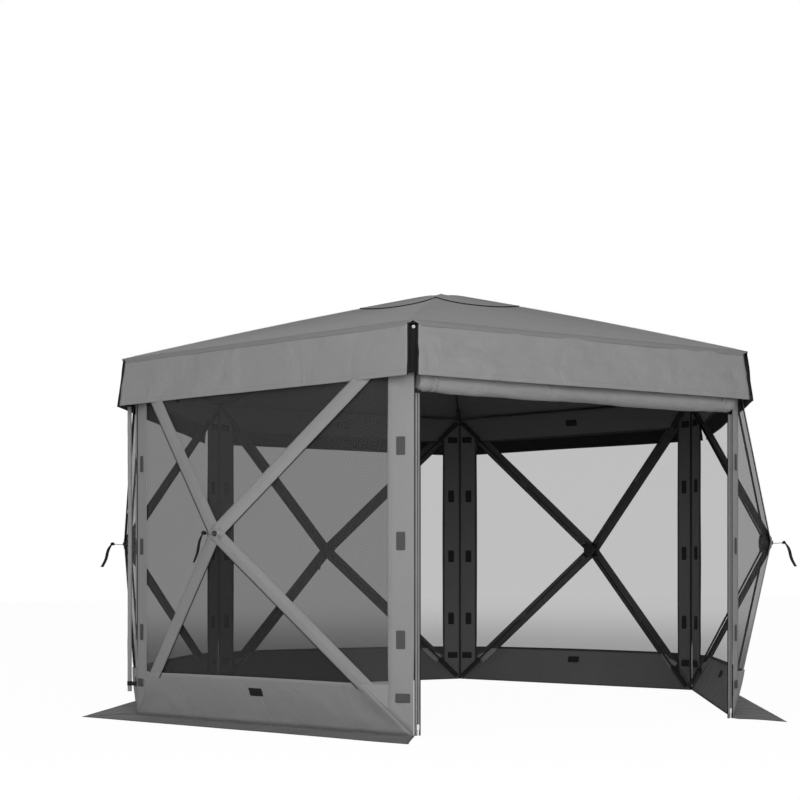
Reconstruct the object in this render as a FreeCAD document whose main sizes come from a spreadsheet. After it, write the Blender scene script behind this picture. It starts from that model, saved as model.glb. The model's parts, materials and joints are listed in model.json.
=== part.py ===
import FreeCAD, Part
import math
import os
import Sketcher

# Hexagonal pop-up screen tent: five net walls popped outwards by hubs, one door wall with its
# panel rolled up, a six-panel roof on six poles, and a valance. Millimetres, +Z up, the door
# faces -Y, and the origin is the centre of the footprint on the ground.

Vector = FreeCAD.Vector
Placement = FreeCAD.Placement
Rotation = FreeCAD.Rotation
UP = Vector(0, 0, 1)

doc = FreeCAD.newDocument("tent_on_poles")

# ---------------------------------------------------------------- driving sizes

DRIVING_SIZES = {
    "wall_side": (1705, "width of a wall between two corner lines"),
    "wall_bottom": (3, "height of the wall's lower edge over the ground"),
    "eave_height": (1786, "height of the wall's upper edge and the roof's edge"),
    "hub_height": (885.5, "height of a wall hub over the ground"),
    "wall_bulge": (334.5, "how far a hub stands out of its wall plane"),
    "roof_rise": (500, "peak height over the roof's edge"),
    "roof_radius": (1785, "roof edge at a corner, from the centre line"),
    "cloth": (1, "thickness of one layer of cloth"),
    "layer_step": (1.3, "distance from one layer of cloth to the next"),
    "grommet_reach": (16, "how far a net facet stops short of its point"),
    "side_border": (108, "width of the border along a corner"),
    "top_border": (161, "width of the border under the roof"),
    "bottom_border": (224, "width of the border over the ground"),
    "band_half": (36, "half the width of a pole band"),
    "crown_radius": (497, "crown patch, centre to corner"),
    "valance_drop": (238, "height of the valance"),
    "valance_flare": (30.3, "how far the valance's hem stands out"),
    "slit_half": (24, "valance flap's edge from the roof's corner line"),
    "backing_width": (70, "width of the black cloth behind a valance slit"),
    "skirt_width": (240, "width of the ground skirt"),
    "skirt_thickness": (1.5, "thickness of the ground skirt"),
    "pole_radius": (5.5, "radius of a pole"),
    "ferrule_radius": (6.5, "radius of a pole's ferrules"),
    "ferrule_length": (70, "length of the middle ferrule"),
    "tip_length": (32, "length of the tip ferrule"),
    "pocket_length": (165, "length of a pole pocket"),
    "pocket_width": (28, "width of a pole pocket"),
    "pocket_depth": (13, "depth of a pole pocket"),
    "pocket_roll_radius": (5, "radius of the roll that a pocket swings on"),
    "pivot_inset": (30, "wall pole's outer pivot from the corner, across and down"),
    "pole_depth": (14, "wall pole's outer pivot behind the wall plane"),
    "hub_depth": (31, "wall hub's pivot plane behind the net's point"),
    "pole_gap": (53, "wall pole's inner end short of the hub pivot"),
    "hub_radius": (40, "radius of a wall hub"),
    "socket_reach": (62, "how far a wall hub's sockets reach"),
    "roof_pivot_inset": (40, "roof pole's outer pivot inside the wall corner"),
    "roof_pole_depth": (40, "roof pole's outer pivot under the roof"),
    "roof_hub_depth": (37, "roof hub's pivot plane under the peak"),
    "roof_pole_gap": (72, "roof pole's inner end short of the hub pivot"),
    "roof_hub_radius": (50, "radius of the roof hub"),
    "roof_socket_reach": (84, "how far the roof hub's sockets reach"),
    "arm_root": (20, "where a roof hub's arm starts, inside its disc"),
    "corner_patch_length": (66, "length of the patch across each end of a side border"),
    "corner_patch_inset": (50, "middle of a corner patch from the corner line"),
    "tab_width": (16, "width of a corner webbing tab"),
    "tab_height": (32, "height of a corner webbing tab"),
    "tie_width": (20, "width of a webbing tie"),
    "slider_width": (11, "width of a zip slider"),
    "slider_depth": (8, "depth of a zip slider"),
    "pull_length": (26, "length of a zip slider's pull"),
    "pull_width": (7, "width of a zip slider's pull"),
    "grommet_radius": (12, "outer radius of a grommet"),
    "grommet_bore": (7, "inner radius of a grommet"),
    "rivet_radius": (8.5, "radius of a snap rivet"),
    "rivet_height": (3, "height of a snap rivet"),
    "rivet_inset": (30, "snap rivet's foot inside the roof's corner"),
    "socket_gap": (15, "clear width of a hub socket"),
    "socket_wall": (3, "thickness of a socket's cheeks and of a hub's plate"),
    "plate_seat": (7.5, "hub plate over the pivot plane"),
    "socket_depth": (24, "hub sockets under the pivot plane"),
    "post_radius": (4.5, "hub's centre post"),
    "cap_thickness": (6, "thickness of a hub's inner cap"),
    "roll_radius": (52, "rolled door panel"),
    "roll_height": (1547, "height of the door roll's centre line"),
    "side_roll_radius": (11, "rolled wind panel"),
    "side_roll_bottom": (117, "lower end of the rolled wind panel"),
    "side_roll_top": (1560, "upper end of the rolled wind panel"),
    "strap_reach": (68, "how far a pull strap's link stands out"),
    "strap_width": (18, "width of a pull strap's tail"),
    "strap_tail": (150, "length of a pull strap's tail"),
    "patch_length": (80, "long side of a hook-and-loop patch"),
    "patch_width": (40, "short side of a hook-and-loop patch"),
    "tape_width": (22, "width of a zip tape"),
    "zip_top": (1485, "upper end of a zip"),
    "coil_width": (5, "width of a zip coil"),
    "slider_length": (22, "length of a zip slider"),
}

sizes = doc.addObject("Spreadsheet::Sheet", "sizes")
for row, (alias, (value, meaning)) in enumerate(DRIVING_SIZES.items(), start=1):
    sizes.set(f"A{row}", meaning)
    sizes.set(f"B{row}", str(value))
    sizes.setAlias(f"B{row}", alias)
doc.recompute()


def size(alias):
    """The value of one driving size."""
    return float(sizes.get(alias))


def worked(rule):
    """The value of a rule that an expression also uses."""
    return float(sizes.evalExpression(rule.replace("sizes.", "")))


def bind(piece, **rules):
    """Ties a piece's properties to the driving sizes."""
    for prop, rule in rules.items():
        piece.setExpression(prop, rule)
    return piece


def add(kind, label, **rules):
    """A new primitive with its sizes bound."""
    piece = doc.addObject(f"Part::{kind}", label)
    piece.Label = label
    return bind(piece, **rules)


def compound(label, pieces):
    """One sub-part that holds several separate solids."""
    group = doc.addObject("Part::Compound", label)
    group.Label = label
    group.Links = pieces
    return group


def cut(label, base, tool):
    piece = doc.addObject("Part::Cut", label)
    piece.Label = label
    piece.Base = base
    piece.Tool = tool
    return piece


def fuse(label, pieces):
    piece = doc.addObject("Part::MultiFuse", label)
    piece.Label = label
    piece.Shapes = pieces
    return piece


def axes_at(point, along_x, along_y):
    """The placement whose X and Y run along two square directions."""
    x_way = Vector(along_x).normalize()
    y_way = Vector(along_y).normalize()
    return Placement(point, Rotation(x_way, y_way, x_way.cross(y_way), "XYZ"))


def axis_at(point, along):
    """The placement whose Z runs along a direction."""
    return Placement(point, Rotation(UP, along))


# ---------------------------------------------------------------- layout

sub_parts = []
wall_apothem = size("wall_side") * math.sqrt(3) / 2
roof_apothem = size("roof_radius") * math.sqrt(3) / 2
skirt_tip = wall_apothem + size("skirt_width")
STRAP_CLOTH = 2
STRAP_FALL = Vector(1, 0, -2).normalize()
strap_tip = wall_apothem + size("wall_bulge") + size("strap_reach")
strap_tip += size("strap_tail") * STRAP_FALL.x - STRAP_CLOTH * STRAP_FALL.z
# The rear pull strap reaches further back than the skirt reaches forward, so the hexagon sits
# in front of the footprint's centre by half the difference.
CENTRE = Vector(0, -(strap_tip - skirt_tip) / 2, 0)

# Hub walls by the compass angle of their outward side. The door is at -90.
HUB_WALLS = {
    "left_front": -150,
    "left_rear": 150,
    "rear": 90,
    "right_rear": 30,
    "right_front": -30,
}
DOOR_ANGLE = -90
CORNERS = {
    "front_left": -120,
    "left": 180,
    "rear_left": 120,
    "rear_right": 60,
    "right": 0,
    "front_right": -60,
}
ALL_WALLS = [*HUB_WALLS.values(), DOOR_ANGLE]

WALL_HEIGHT = "(sizes.eave_height - sizes.wall_bottom)"
HUB_OVER_BOTTOM = "(sizes.hub_height - sizes.wall_bottom)"
HUB_UNDER_TOP = "(sizes.eave_height - sizes.hub_height)"


def outward(angle):
    return Vector(math.cos(math.radians(angle)), math.sin(math.radians(angle)), 0)


def along_wall(angle):
    return UP.cross(outward(angle))


def wall_point(angle, across, height, out):
    """A point by its place across a wall, its height and its distance out of the wall plane."""
    side = along_wall(angle) * across
    return CENTRE + outward(angle) * (wall_apothem + out) + side + UP * height


# ---------------------------------------------------------------- net walls

# A facet is a triangle from one edge of the wall to the hub point. Its X runs along the edge,
# its Y up the slope to the point, and its Z out of the tent.


class Facet:
    def __init__(self, name, edge, point_along, run):
        self.name = name
        self.edge = edge
        self.point_along = point_along
        self.slope = f"sqrt(({run}) ^ 2 + sizes.wall_bulge ^ 2)"

    def left(self, share):
        return f"({self.point_along}) * ({share})"

    def right(self, share):
        return f"({self.edge}) - (({self.edge}) - ({self.point_along})) * ({share})"

    def plate(self, label, layer, near, far, left_edge=None, right_edge=None):
        """A plate of cloth between two shares of the slope."""
        left_edge = left_edge or self.left
        right_edge = right_edge or self.right
        start = f"{layer} * sizes.layer_step"
        end = f"{start} + sizes.cloth"
        return add(
            "Wedge", label,
            Xmin=left_edge(near), Xmax=right_edge(near),
            X2min=left_edge(far), X2max=right_edge(far),
            Ymin=f"{self.slope} * ({near})", Ymax=f"{self.slope} * ({far})",
            Zmin=start, Z2min=start, Zmax=end, Z2max=end,
        )


HALF_WALL = "sizes.wall_side / 2"
FACETS = {
    "lower": Facet("lower", "sizes.wall_side", HALF_WALL, HUB_OVER_BOTTOM),
    "upper": Facet("upper", "sizes.wall_side", HALF_WALL, HUB_UNDER_TOP),
    "near": Facet("near", WALL_HEIGHT, HUB_OVER_BOTTOM, HALF_WALL),
    "far": Facet("far", WALL_HEIGHT, HUB_UNDER_TOP, HALF_WALL),
}
BORDER_SHARES = {
    "lower": f"sizes.bottom_border / {HUB_OVER_BOTTOM}",
    "upper": f"sizes.top_border / {HUB_UNDER_TOP}",
    "near": "2 * sizes.side_border / sizes.wall_side",
    "far": "2 * sizes.side_border / sizes.wall_side",
}


def facet_placement(angle, facet):
    """Where a facet lies on the wall with this outward angle."""
    half = size("wall_side") / 2
    low, high = size("wall_bottom"), size("eave_height")
    start, end = {
        "lower": ((-half, low), (half, low)),
        "upper": ((half, high), (-half, high)),
        "near": ((half, low), (half, high)),
        "far": ((-half, high), (-half, low)),
    }[facet]
    start = wall_point(angle, *start, 0)
    edge = wall_point(angle, *end, 0) - start
    to_point = wall_point(angle, 0, size("hub_height"), size("wall_bulge")) - start
    edge_way = Vector(edge).normalize()
    slope = to_point - edge_way * to_point.dot(edge_way)
    return axes_at(start, edge, slope)


def net_wall(wall, angle):
    facets = []
    for name, facet in FACETS.items():
        far = f"1 - sizes.grommet_reach / {facet.slope}"
        net = facet.plate(f"net_{wall}_{name}", 0, "0", far)
        net.Placement = facet_placement(angle, name)
        facets.append(net)
    return compound(f"wall_net_{wall}", facets)


def wall_borders():
    """The border frames and the two pole bands of each hub wall."""
    strips = []
    for wall, angle in HUB_WALLS.items():
        for name, facet in FACETS.items():
            place = facet_placement(angle, name)
            share = BORDER_SHARES[name]
            border = facet.plate(f"border_{wall}_{name}", 1, "0", share)
            end = f"1 - 2 * sizes.band_half / {facet.slope}"
            left_wide = f"sizes.band_half * sqrt(({facet.point_along}) ^ 2 + {facet.slope} ^ 2)"
            left_wide += f" / {facet.slope}"
            rest = f"(({facet.edge}) - ({facet.point_along}))"
            right_wide = f"sizes.band_half * sqrt({rest} ^ 2 + {facet.slope} ^ 2) / {facet.slope}"
            left_band = facet.plate(
                f"band_{wall}_{name}_left", 1, share, end,
                right_edge=lambda at, f=facet, w=left_wide: f"{f.left(at)} + {w}",
            )
            right_band = facet.plate(
                f"band_{wall}_{name}_right", 1, share, end,
                left_edge=lambda at, f=facet, w=right_wide: f"{f.right(at)} - {w}",
            )
            for strip in (border, left_band, right_band):
                strip.Placement = place
                strips.append(strip)
    return compound("wall_borders", strips)


SIDE_PATCH_HEIGHTS = (419, 846, 1258)
END_PATCH_HEIGHTS = (167, 1645)


def hook_patches():
    """Hook-and-loop patches on the outer side of the borders.

    Three stand along each side border and one lies across each of its ends. One more lies along
    the middle of the top border, and one along the bottom border.
    """
    patches = []
    along_edge = ("patch_length", "patch_width")
    across_edge = ("patch_width", "corner_patch_length")
    lower_depth_share = 0.75
    for wall, angle in HUB_WALLS.items():
        for name, facet in FACETS.items():
            edge = worked(facet.edge)
            border = worked(f"{facet.slope} * {BORDER_SHARES[name]}")
            if name == "lower":
                spots = [(edge / 2, border * lower_depth_share, along_edge)]
            elif name == "upper":
                spots = [(edge / 2, border / 2, along_edge)]
            else:
                spots = [(height, border / 2, along_edge) for height in SIDE_PATCH_HEIGHTS]
                inset = size("corner_patch_inset")
                spots += [(height, inset, across_edge) for height in END_PATCH_HEIGHTS]
                spots = [(height - size("wall_bottom"), *rest) for height, *rest in spots]
            if name == "far":
                spots = [(edge - at, *rest) for at, *rest in spots]
            for number, (at, depth, (long_side, wide_side)) in enumerate(spots, start=1):
                patch = add(
                    "Box", f"patch_{wall}_{name}_{number}", Length=f"sizes.{long_side}",
                    Width=f"sizes.{wide_side}", Height="sizes.cloth",
                )
                corner = Vector(
                    at - size(long_side) / 2, depth - size(wide_side) / 2,
                    2 * size("layer_step"),
                )
                patch.Placement = facet_placement(angle, name) * Placement(corner, Rotation())
                patches.append(patch)
    return compound("hook_patches", patches)


def corner_webbing():
    """Webbing tabs sewn inside each hub wall's four corners, behind the pole pockets."""
    tabs = []
    tab_depth, behind, end_room = 1.5, 2.5, 2
    for wall, angle in HUB_WALLS.items():
        for side in (-1, 1):
            for level in ("bottom", "top"):
                tab = add("Box", f"tab_{wall}_{level}_{side + 2}", Length="sizes.tab_width",
                          Width="sizes.tab_height", Height=str(tab_depth))
                half_tab = size("tab_width") / 2
                across = side * (size("wall_side") / 2 - 2 * end_room - half_tab)
                low = size("wall_bottom") + end_room
                if level == "top":
                    low = size("eave_height") - size("tab_height") - end_room
                start = wall_point(angle, across - half_tab, low, -behind - tab_depth)
                tab.Placement = axes_at(start, along_wall(angle), UP)
                tabs.append(tab)
    return tabs


# ---------------------------------------------------------------- poles


def pole(label, outer_pivot, hub_pivot, length_rule, outer_way):
    """A pole with its middle and tip ferrules, and the webbing pocket at its outer end.

    The pocket's end is sewn round a roll, on which the pole swings. The roll lies square to
    the pole and to outer_way.
    """
    rod = add("Cylinder", f"{label}_rod", Radius="sizes.pole_radius", Height=length_rule)
    middle = add(
        "Cylinder", f"{label}_middle", Radius="sizes.ferrule_radius", Height="sizes.ferrule_length"
    )
    tip = add("Cylinder", f"{label}_tip", Radius="sizes.ferrule_radius", Height="sizes.tip_length")
    length = worked(length_rule)
    middle.Placement.Base = Vector(0, 0, (length - size("ferrule_length")) / 2)
    tip.Placement.Base = Vector(0, 0, length - size("tip_length"))
    shaft = fuse(f"{label}_shaft", [rod, middle, tip])
    webbing = add(
        "Box", f"{label}_webbing",
        Length="sizes.pocket_width", Width="sizes.pocket_depth", Height="sizes.pocket_length",
    )
    corner = Vector(-size("pocket_width") / 2, -size("pocket_depth") / 2, 0)
    webbing.Placement = Placement(corner, Rotation())
    roll = add(
        "Cylinder", f"{label}_roll", Radius="sizes.pocket_roll_radius", Height="sizes.pocket_width"
    )
    roll.Placement = axis_at(Vector(-size("pocket_width") / 2, 0, 0), Vector(1, 0, 0))
    rolled = fuse(f"{label}_rolled", [webbing, roll])
    bore = add(
        "Cylinder", f"{label}_bore", Radius="sizes.pole_radius", Height="sizes.pocket_length"
    )
    pocket = cut(f"{label}_pocket", rolled, bore)
    whole = compound(label, [shaft, pocket])
    run = Vector(hub_pivot - outer_pivot).normalize()
    flat_way = run.cross(outer_way).normalize()
    whole.Placement = Placement(outer_pivot, Rotation(flat_way, run.cross(flat_way), run, "XYZ"))
    return whole


def wall_poles(wall, angle):
    """The four poles of a hub wall, named as seen from outside."""
    across = size("wall_side") / 2 - size("pivot_inset")
    heights = {
        "upper": size("eave_height") - size("pivot_inset"),
        "lower": size("pivot_inset"),
    }
    rises = {
        "upper": "(sizes.eave_height - sizes.hub_height - sizes.pivot_inset)",
        "lower": "(sizes.hub_height - sizes.pivot_inset)",
    }
    hub_pivot = wall_point(angle, 0, size("hub_height"), size("wall_bulge") - size("hub_depth"))
    poles = []
    for level, height in heights.items():
        length = f"sqrt((sizes.wall_side / 2 - sizes.pivot_inset) ^ 2 + {rises[level]} ^ 2"
        length += " + (sizes.wall_bulge - sizes.hub_depth + sizes.pole_depth) ^ 2)"
        length += " - sizes.pole_gap"
        for side, sign in (("left", -1), ("right", 1)):
            outer = wall_point(angle, sign * across, height, -size("pole_depth"))
            label = f"pole_{wall}_{level}_{side}"
            poles.append(pole(label, outer, hub_pivot, length, outward(angle)))
    return poles


ROOF_PIVOT_RADIUS = "(sizes.wall_side - sizes.roof_pivot_inset)"
ROOF_PIVOT_HEIGHT = (
    "(sizes.eave_height + sizes.roof_rise"
    f" - sizes.roof_rise * {ROOF_PIVOT_RADIUS} / sizes.roof_radius - sizes.roof_pole_depth)"
)
ROOF_HUB_HEIGHT = "(sizes.eave_height + sizes.roof_rise - sizes.roof_hub_depth)"


def roof_poles():
    hub_pivot = CENTRE + UP * worked(ROOF_HUB_HEIGHT)
    length = f"sqrt({ROOF_PIVOT_RADIUS} ^ 2 + ({ROOF_HUB_HEIGHT} - {ROOF_PIVOT_HEIGHT}) ^ 2)"
    length += " - sizes.roof_pole_gap"
    poles = []
    for corner, angle in CORNERS.items():
        outer = CENTRE + outward(angle) * worked(ROOF_PIVOT_RADIUS)
        outer += UP * worked(ROOF_PIVOT_HEIGHT)
        poles.append(pole(f"roof_pole_{corner}", outer, hub_pivot, length, UP))
    return poles


# ---------------------------------------------------------------- hubs


def wall_hub(wall, angle):
    """A moulded hub: a disc with four grooved sockets on arms, and a centre post."""
    label = f"hub_body_{wall}"
    disc = add(
        "Cylinder", f"{label}_disc", Radius="sizes.hub_radius",
        Height="sizes.socket_depth + sizes.plate_seat + sizes.socket_wall",
    )
    disc.Placement.Base = Vector(0, 0, -size("socket_depth"))
    post = add(
        "Cylinder", f"{label}_post", Radius="sizes.post_radius",
        Height="sizes.socket_depth + sizes.plate_seat + sizes.socket_wall",
    )
    post.Placement.Base = Vector(0, 0, -size("socket_depth"))
    across = size("wall_side") / 2 - size("pivot_inset")
    rise = size("hub_height") - size("pivot_inset")
    lean = math.degrees(math.atan2(rise, across))
    arms, grooves = [disc], []
    for number, turn in enumerate((lean, 180 - lean, 180 + lean, -lean), start=1):
        arm = add(
            "Box", f"{label}_arm_{number}", Length="sizes.socket_reach",
            Width="sizes.socket_gap + 2 * sizes.socket_wall",
            Height="sizes.socket_depth + sizes.plate_seat + sizes.socket_wall",
        )
        groove = add(
            "Box", f"{label}_groove_{number}", Length="sizes.socket_reach + 1",
            Width="sizes.socket_gap", Height="sizes.socket_depth + sizes.plate_seat",
        )
        half_gap = size("socket_gap") / 2
        for box, half in ((arm, half_gap + size("socket_wall")), (groove, half_gap)):
            swing = Rotation(UP, turn)
            box.Placement = Placement(
                swing.multVec(Vector(0, -half, -size("socket_depth"))), swing
            )
        arms.append(arm)
        grooves.append(groove)
    solid = fuse(f"{label}_solid", arms)
    hollow = fuse(f"{label}_hollow", grooves)
    grooved = cut(f"{label}_grooved", solid, hollow)
    body = fuse(label, [grooved, post])
    cap = hub_cap(f"hub_cap_{wall}", "sizes.hub_radius")
    pivot = wall_point(angle, 0, size("hub_height"), size("wall_bulge") - size("hub_depth"))
    place = axes_at(pivot, along_wall(angle), UP)
    body.Placement = place
    cap.Placement = place
    return [body, cap]


def hub_cap(label, radius_rule):
    """A round cap with a bevelled rim that closes a hub's sockets on the inside."""
    rim = add("Cylinder", f"{label}_rim", Radius=radius_rule, Height="sizes.cap_thickness / 2")
    crown = add(
        "Cone", f"{label}_crown", Radius1=f"{radius_rule} * 0.75", Radius2=radius_rule,
        Height="sizes.cap_thickness / 2",
    )
    seat = -size("socket_depth") - 0.3
    rim.Placement.Base = Vector(0, 0, seat - size("cap_thickness") / 2)
    crown.Placement.Base = Vector(0, 0, seat - size("cap_thickness"))
    return fuse(label, [rim, crown])


def rectangle(sketch, left, right, low, high, names):
    """A rectangle whose four sides are named distances from the sketch's axes."""
    corners = [(left, low), (right, low), (right, high), (left, high)]
    first = sketch.GeometryCount
    for a, b in zip(corners, corners[1:] + corners[:1]):
        sketch.addGeometry(Part.LineSegment(Vector(*a, 0), Vector(*b, 0)), False)
    for side in range(4):
        nxt = first + (side + 1) % 4
        sketch.addConstraint(Sketcher.Constraint("Coincident", first + side, 2, nxt, 1))
        way = "Horizontal" if side % 2 == 0 else "Vertical"
        sketch.addConstraint(Sketcher.Constraint(way, first + side))
    start = first
    places = (("DistanceX", start, 1, left), ("DistanceX", first + 1, 1, right),
              ("DistanceY", start, 1, low), ("DistanceY", first + 2, 1, high))
    for (way, line, end, value), rule in zip(places, names):
        index = sketch.addConstraint(Sketcher.Constraint(way, -1, 1, line, end, value))
        sketch.setExpression(f"Constraints[{index}]", rule)


def origin_plane(body, role):
    return next(f for f in body.Origin.OriginFeatures if f.Role == role)


def add_sketch(body, name, height):
    sketch = body.newObject("Sketcher::SketchObject", name)
    sketch.AttachmentSupport = [(origin_plane(body, "XY_Plane"), "")]
    sketch.MapMode = "FlatFace"
    sketch.AttachmentOffset = Placement(Vector(0, 0, height), Rotation())
    return sketch


def polar(body, name, feature, count):
    axis = next(f for f in body.Origin.OriginFeatures if f.Role == "Z_Axis")
    pattern = body.newObject("PartDesign::PolarPattern", name)
    pattern.Originals = [feature]
    pattern.Axis = (axis, [""])
    pattern.Angle = 360
    pattern.Occurrences = count
    body.Tip = pattern
    return pattern


def roof_hub():
    """The roof hub: a disc with six grooved arms round a centre post, and its cap."""
    body = doc.addObject("PartDesign::Body", "roof_hub_body")
    body.Label = "roof_hub_body"
    low = -size("socket_depth")
    disc_sketch = add_sketch(body, "roof_hub_disc_outline", low)
    disc_sketch.addGeometry(Part.Circle(Vector(), UP, size("roof_hub_radius")), False)
    disc_sketch.addConstraint(Sketcher.Constraint("Coincident", 0, 3, -1, 1))
    disc_sketch.addConstraint(Sketcher.Constraint("Radius", 0, size("roof_hub_radius")))
    disc_sketch.setExpression("Constraints[1]", "sizes.roof_hub_radius")
    whole_depth = "sizes.socket_depth + sizes.plate_seat + sizes.socket_wall"
    disc = body.newObject("PartDesign::Pad", "roof_hub_disc")
    disc.Profile = disc_sketch
    disc.setExpression("Length", whole_depth)
    doc.recompute()

    half_arm = size("socket_gap") / 2 + size("socket_wall")
    arm_sketch = add_sketch(body, "roof_hub_arm_outline", low)
    rectangle(
        arm_sketch, size("arm_root"), size("roof_socket_reach"), -half_arm, half_arm,
        ("sizes.arm_root", "sizes.roof_socket_reach", "-(sizes.socket_gap / 2 + sizes.socket_wall)",
         "sizes.socket_gap / 2 + sizes.socket_wall"),
    )
    arm = body.newObject("PartDesign::Pad", "roof_hub_arm")
    arm.Profile = arm_sketch
    arm.setExpression("Length", whole_depth)
    doc.recompute()
    polar(body, "roof_hub_arms", arm, len(CORNERS))
    doc.recompute()

    groove_sketch = add_sketch(body, "roof_hub_groove_outline", low)
    inner = size("post_radius")
    rectangle(
        groove_sketch, inner, size("roof_socket_reach") + 1, -size("socket_gap") / 2,
        size("socket_gap") / 2,
        ("sizes.post_radius", "sizes.roof_socket_reach + 1", "-sizes.socket_gap / 2",
         "sizes.socket_gap / 2"),
    )
    groove = body.newObject("PartDesign::Pocket", "roof_hub_groove")
    groove.Profile = groove_sketch
    groove.Reversed = True
    groove.setExpression("Length", "sizes.socket_depth + sizes.plate_seat")
    doc.recompute()
    polar(body, "roof_hub_grooves", groove, len(CORNERS))
    doc.recompute()

    cap = hub_cap("roof_hub_cap", "sizes.roof_hub_radius")
    place = Placement(CENTRE + UP * worked(ROOF_HUB_HEIGHT), Rotation())
    body.Placement = place
    cap.Placement = place
    return [body, cap]


# ---------------------------------------------------------------- roof and valance


def hexagon_plates(label, walls, place, **rules):
    plates = []
    for number, angle in enumerate(walls, start=1):
        plate = add("Wedge", f"{label}_{number}", **rules)
        plate.Placement = place(angle)
        plates.append(plate)
    return compound(label, plates)


def roof_slope_place(angle, lift):
    edge = CENTRE + outward(angle) * roof_apothem + UP * size("eave_height")
    start = edge - along_wall(angle) * (size("roof_radius") / 2)
    up_slope = outward(angle) * -roof_apothem + UP * size("roof_rise")
    place = axes_at(start, along_wall(angle), up_slope)
    return place * Placement(Vector(0, 0, lift), Rotation())


ROOF_SLOPE = "sqrt(sizes.roof_radius ^ 2 * 0.75 + sizes.roof_rise ^ 2)"


def roof_canopy():
    return hexagon_plates(
        "roof_canopy", ALL_WALLS, lambda angle: roof_slope_place(angle, 0),
        Xmin="0", Xmax="sizes.roof_radius",
        X2min="sizes.roof_radius / 2", X2max="sizes.roof_radius / 2",
        Ymin="0", Ymax=ROOF_SLOPE, Zmin="0", Z2min="0", Zmax="sizes.cloth", Z2max="sizes.cloth",
    )


def crown_patch():
    share = "(1 - sizes.crown_radius / sizes.roof_radius)"
    half = "sizes.roof_radius / 2"
    return hexagon_plates(
        "crown_patch", ALL_WALLS, lambda angle: roof_slope_place(angle, size("layer_step")),
        Xmin=f"{half} * {share}", Xmax=f"sizes.roof_radius - {half} * {share}",
        X2min=half, X2max=half,
        Ymin=f"{ROOF_SLOPE} * {share}", Ymax=ROOF_SLOPE,
        Zmin="0", Z2min="0", Zmax="sizes.cloth", Z2max="sizes.cloth",
    )


def corner_backings():
    """Black cloth that closes each slit of the valance from behind."""
    backings = []
    low_room, high_room, depth = 14, 10, 35
    for corner, angle in CORNERS.items():
        backing = add(
            "Box", f"corner_backing_{corner}", Length="sizes.backing_width",
            Width=f"sizes.valance_drop - {low_room + high_room}", Height="sizes.cloth",
        )
        start = CENTRE + outward(angle) * (size("roof_radius") - depth)
        start -= along_wall(angle) * (size("backing_width") / 2)
        start += UP * (size("eave_height") - size("valance_drop") + low_room)
        backing.Placement = axes_at(start, along_wall(angle), UP)
        backings.append(backing)
    return backings


def valance():
    def place(angle):
        edge = CENTRE + outward(angle) * roof_apothem + UP * size("eave_height")
        start = edge + along_wall(angle) * (size("roof_radius") / 2)
        down = outward(angle) * size("valance_flare") - UP * size("valance_drop")
        return axes_at(start, along_wall(angle) * -1, down)

    drop = "sqrt(sizes.valance_drop ^ 2 + sizes.valance_flare ^ 2)"
    near, far = "sizes.slit_half", "sizes.roof_radius - sizes.slit_half"
    flaps = hexagon_plates(
        "valance_flaps", ALL_WALLS, place,
        Xmin=near, Xmax=far, X2min=near, X2max=far,
        Ymin="2", Ymax=drop, Zmin="0", Z2min="0", Zmax="sizes.cloth", Z2max="sizes.cloth",
    )
    return compound("valance", [flaps, *corner_backings()])


def ground_skirt():
    def place(angle):
        start = wall_point(angle, size("wall_side") / 2, 0, 0)
        return axes_at(start, along_wall(angle) * -1, outward(angle))

    mitre = "sizes.skirt_width * tan(30)"
    return hexagon_plates(
        "ground_skirt", HUB_WALLS.values(), place,
        Xmin="0", Xmax="sizes.wall_side",
        X2min=f"-{mitre}", X2max=f"sizes.wall_side + {mitre}",
        Ymin="0", Ymax="sizes.skirt_width",
        Zmin="0", Z2min="0", Zmax="sizes.skirt_thickness", Z2max="sizes.skirt_thickness",
    )


# ---------------------------------------------------------------- rolled panels and ties


def ring(label, outer_rule, inner_rule, height_rule):
    outside = add("Cylinder", f"{label}_outside", Radius=outer_rule, Height=height_rule)
    inside = add("Cylinder", f"{label}_inside", Radius=inner_rule, Height=height_rule)
    return cut(label, outside, inside)


SIDE_ROLL_ACROSS = 30
SIDE_ROLL_OUT = 50


def side_roll_foot():
    angle = HUB_WALLS["left_rear"]
    across = size("wall_side") / 2 - SIDE_ROLL_ACROSS
    return wall_point(angle, across, size("side_roll_bottom"), SIDE_ROLL_OUT)


def rolled_panels():
    """The door panel rolled up under the valance, and a wind panel rolled up at a corner."""
    end_room = 12
    door = add(
        "Cylinder", "door_roll", Radius="sizes.roll_radius",
        Height=f"sizes.wall_side - 2 * {end_room}",
    )
    start = wall_point(
        DOOR_ANGLE, end_room - size("wall_side") / 2, size("roll_height"), 0
    )
    door.Placement = axis_at(start, along_wall(DOOR_ANGLE))
    side = add(
        "Cylinder", "side_roll", Radius="sizes.side_roll_radius",
        Height="sizes.side_roll_top - sizes.side_roll_bottom",
    )
    side.Placement = Placement(side_roll_foot(), Rotation())
    return compound("rolled_panels", [door, side])


def roll_ties():
    ties = []
    tie_cloth, slack, side_cloth, from_end = 2.5, 0.3, 2, 82
    tie_heights = (30, 900)
    half = size("wall_side") / 2
    for number, across in enumerate((from_end - half, half - from_end), start=1):
        tie = ring(
            f"door_tie_{number}", f"sizes.roll_radius + {tie_cloth + slack}",
            f"sizes.roll_radius + {slack}", "sizes.tie_width",
        )
        start = wall_point(DOOR_ANGLE, across - size("tie_width") / 2, size("roll_height"), 0)
        tie.Placement = axis_at(start, along_wall(DOOR_ANGLE))
        ties.append(tie)
    for number, height in enumerate(tie_heights, start=1):
        tie = ring(
            f"side_tie_{number}", f"sizes.side_roll_radius + {side_cloth + slack}",
            f"sizes.side_roll_radius + {slack}", "sizes.tie_width",
        )
        tie.Placement = Placement(side_roll_foot() + UP * height, Rotation())
        ties.append(tie)
    return ties


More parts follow.
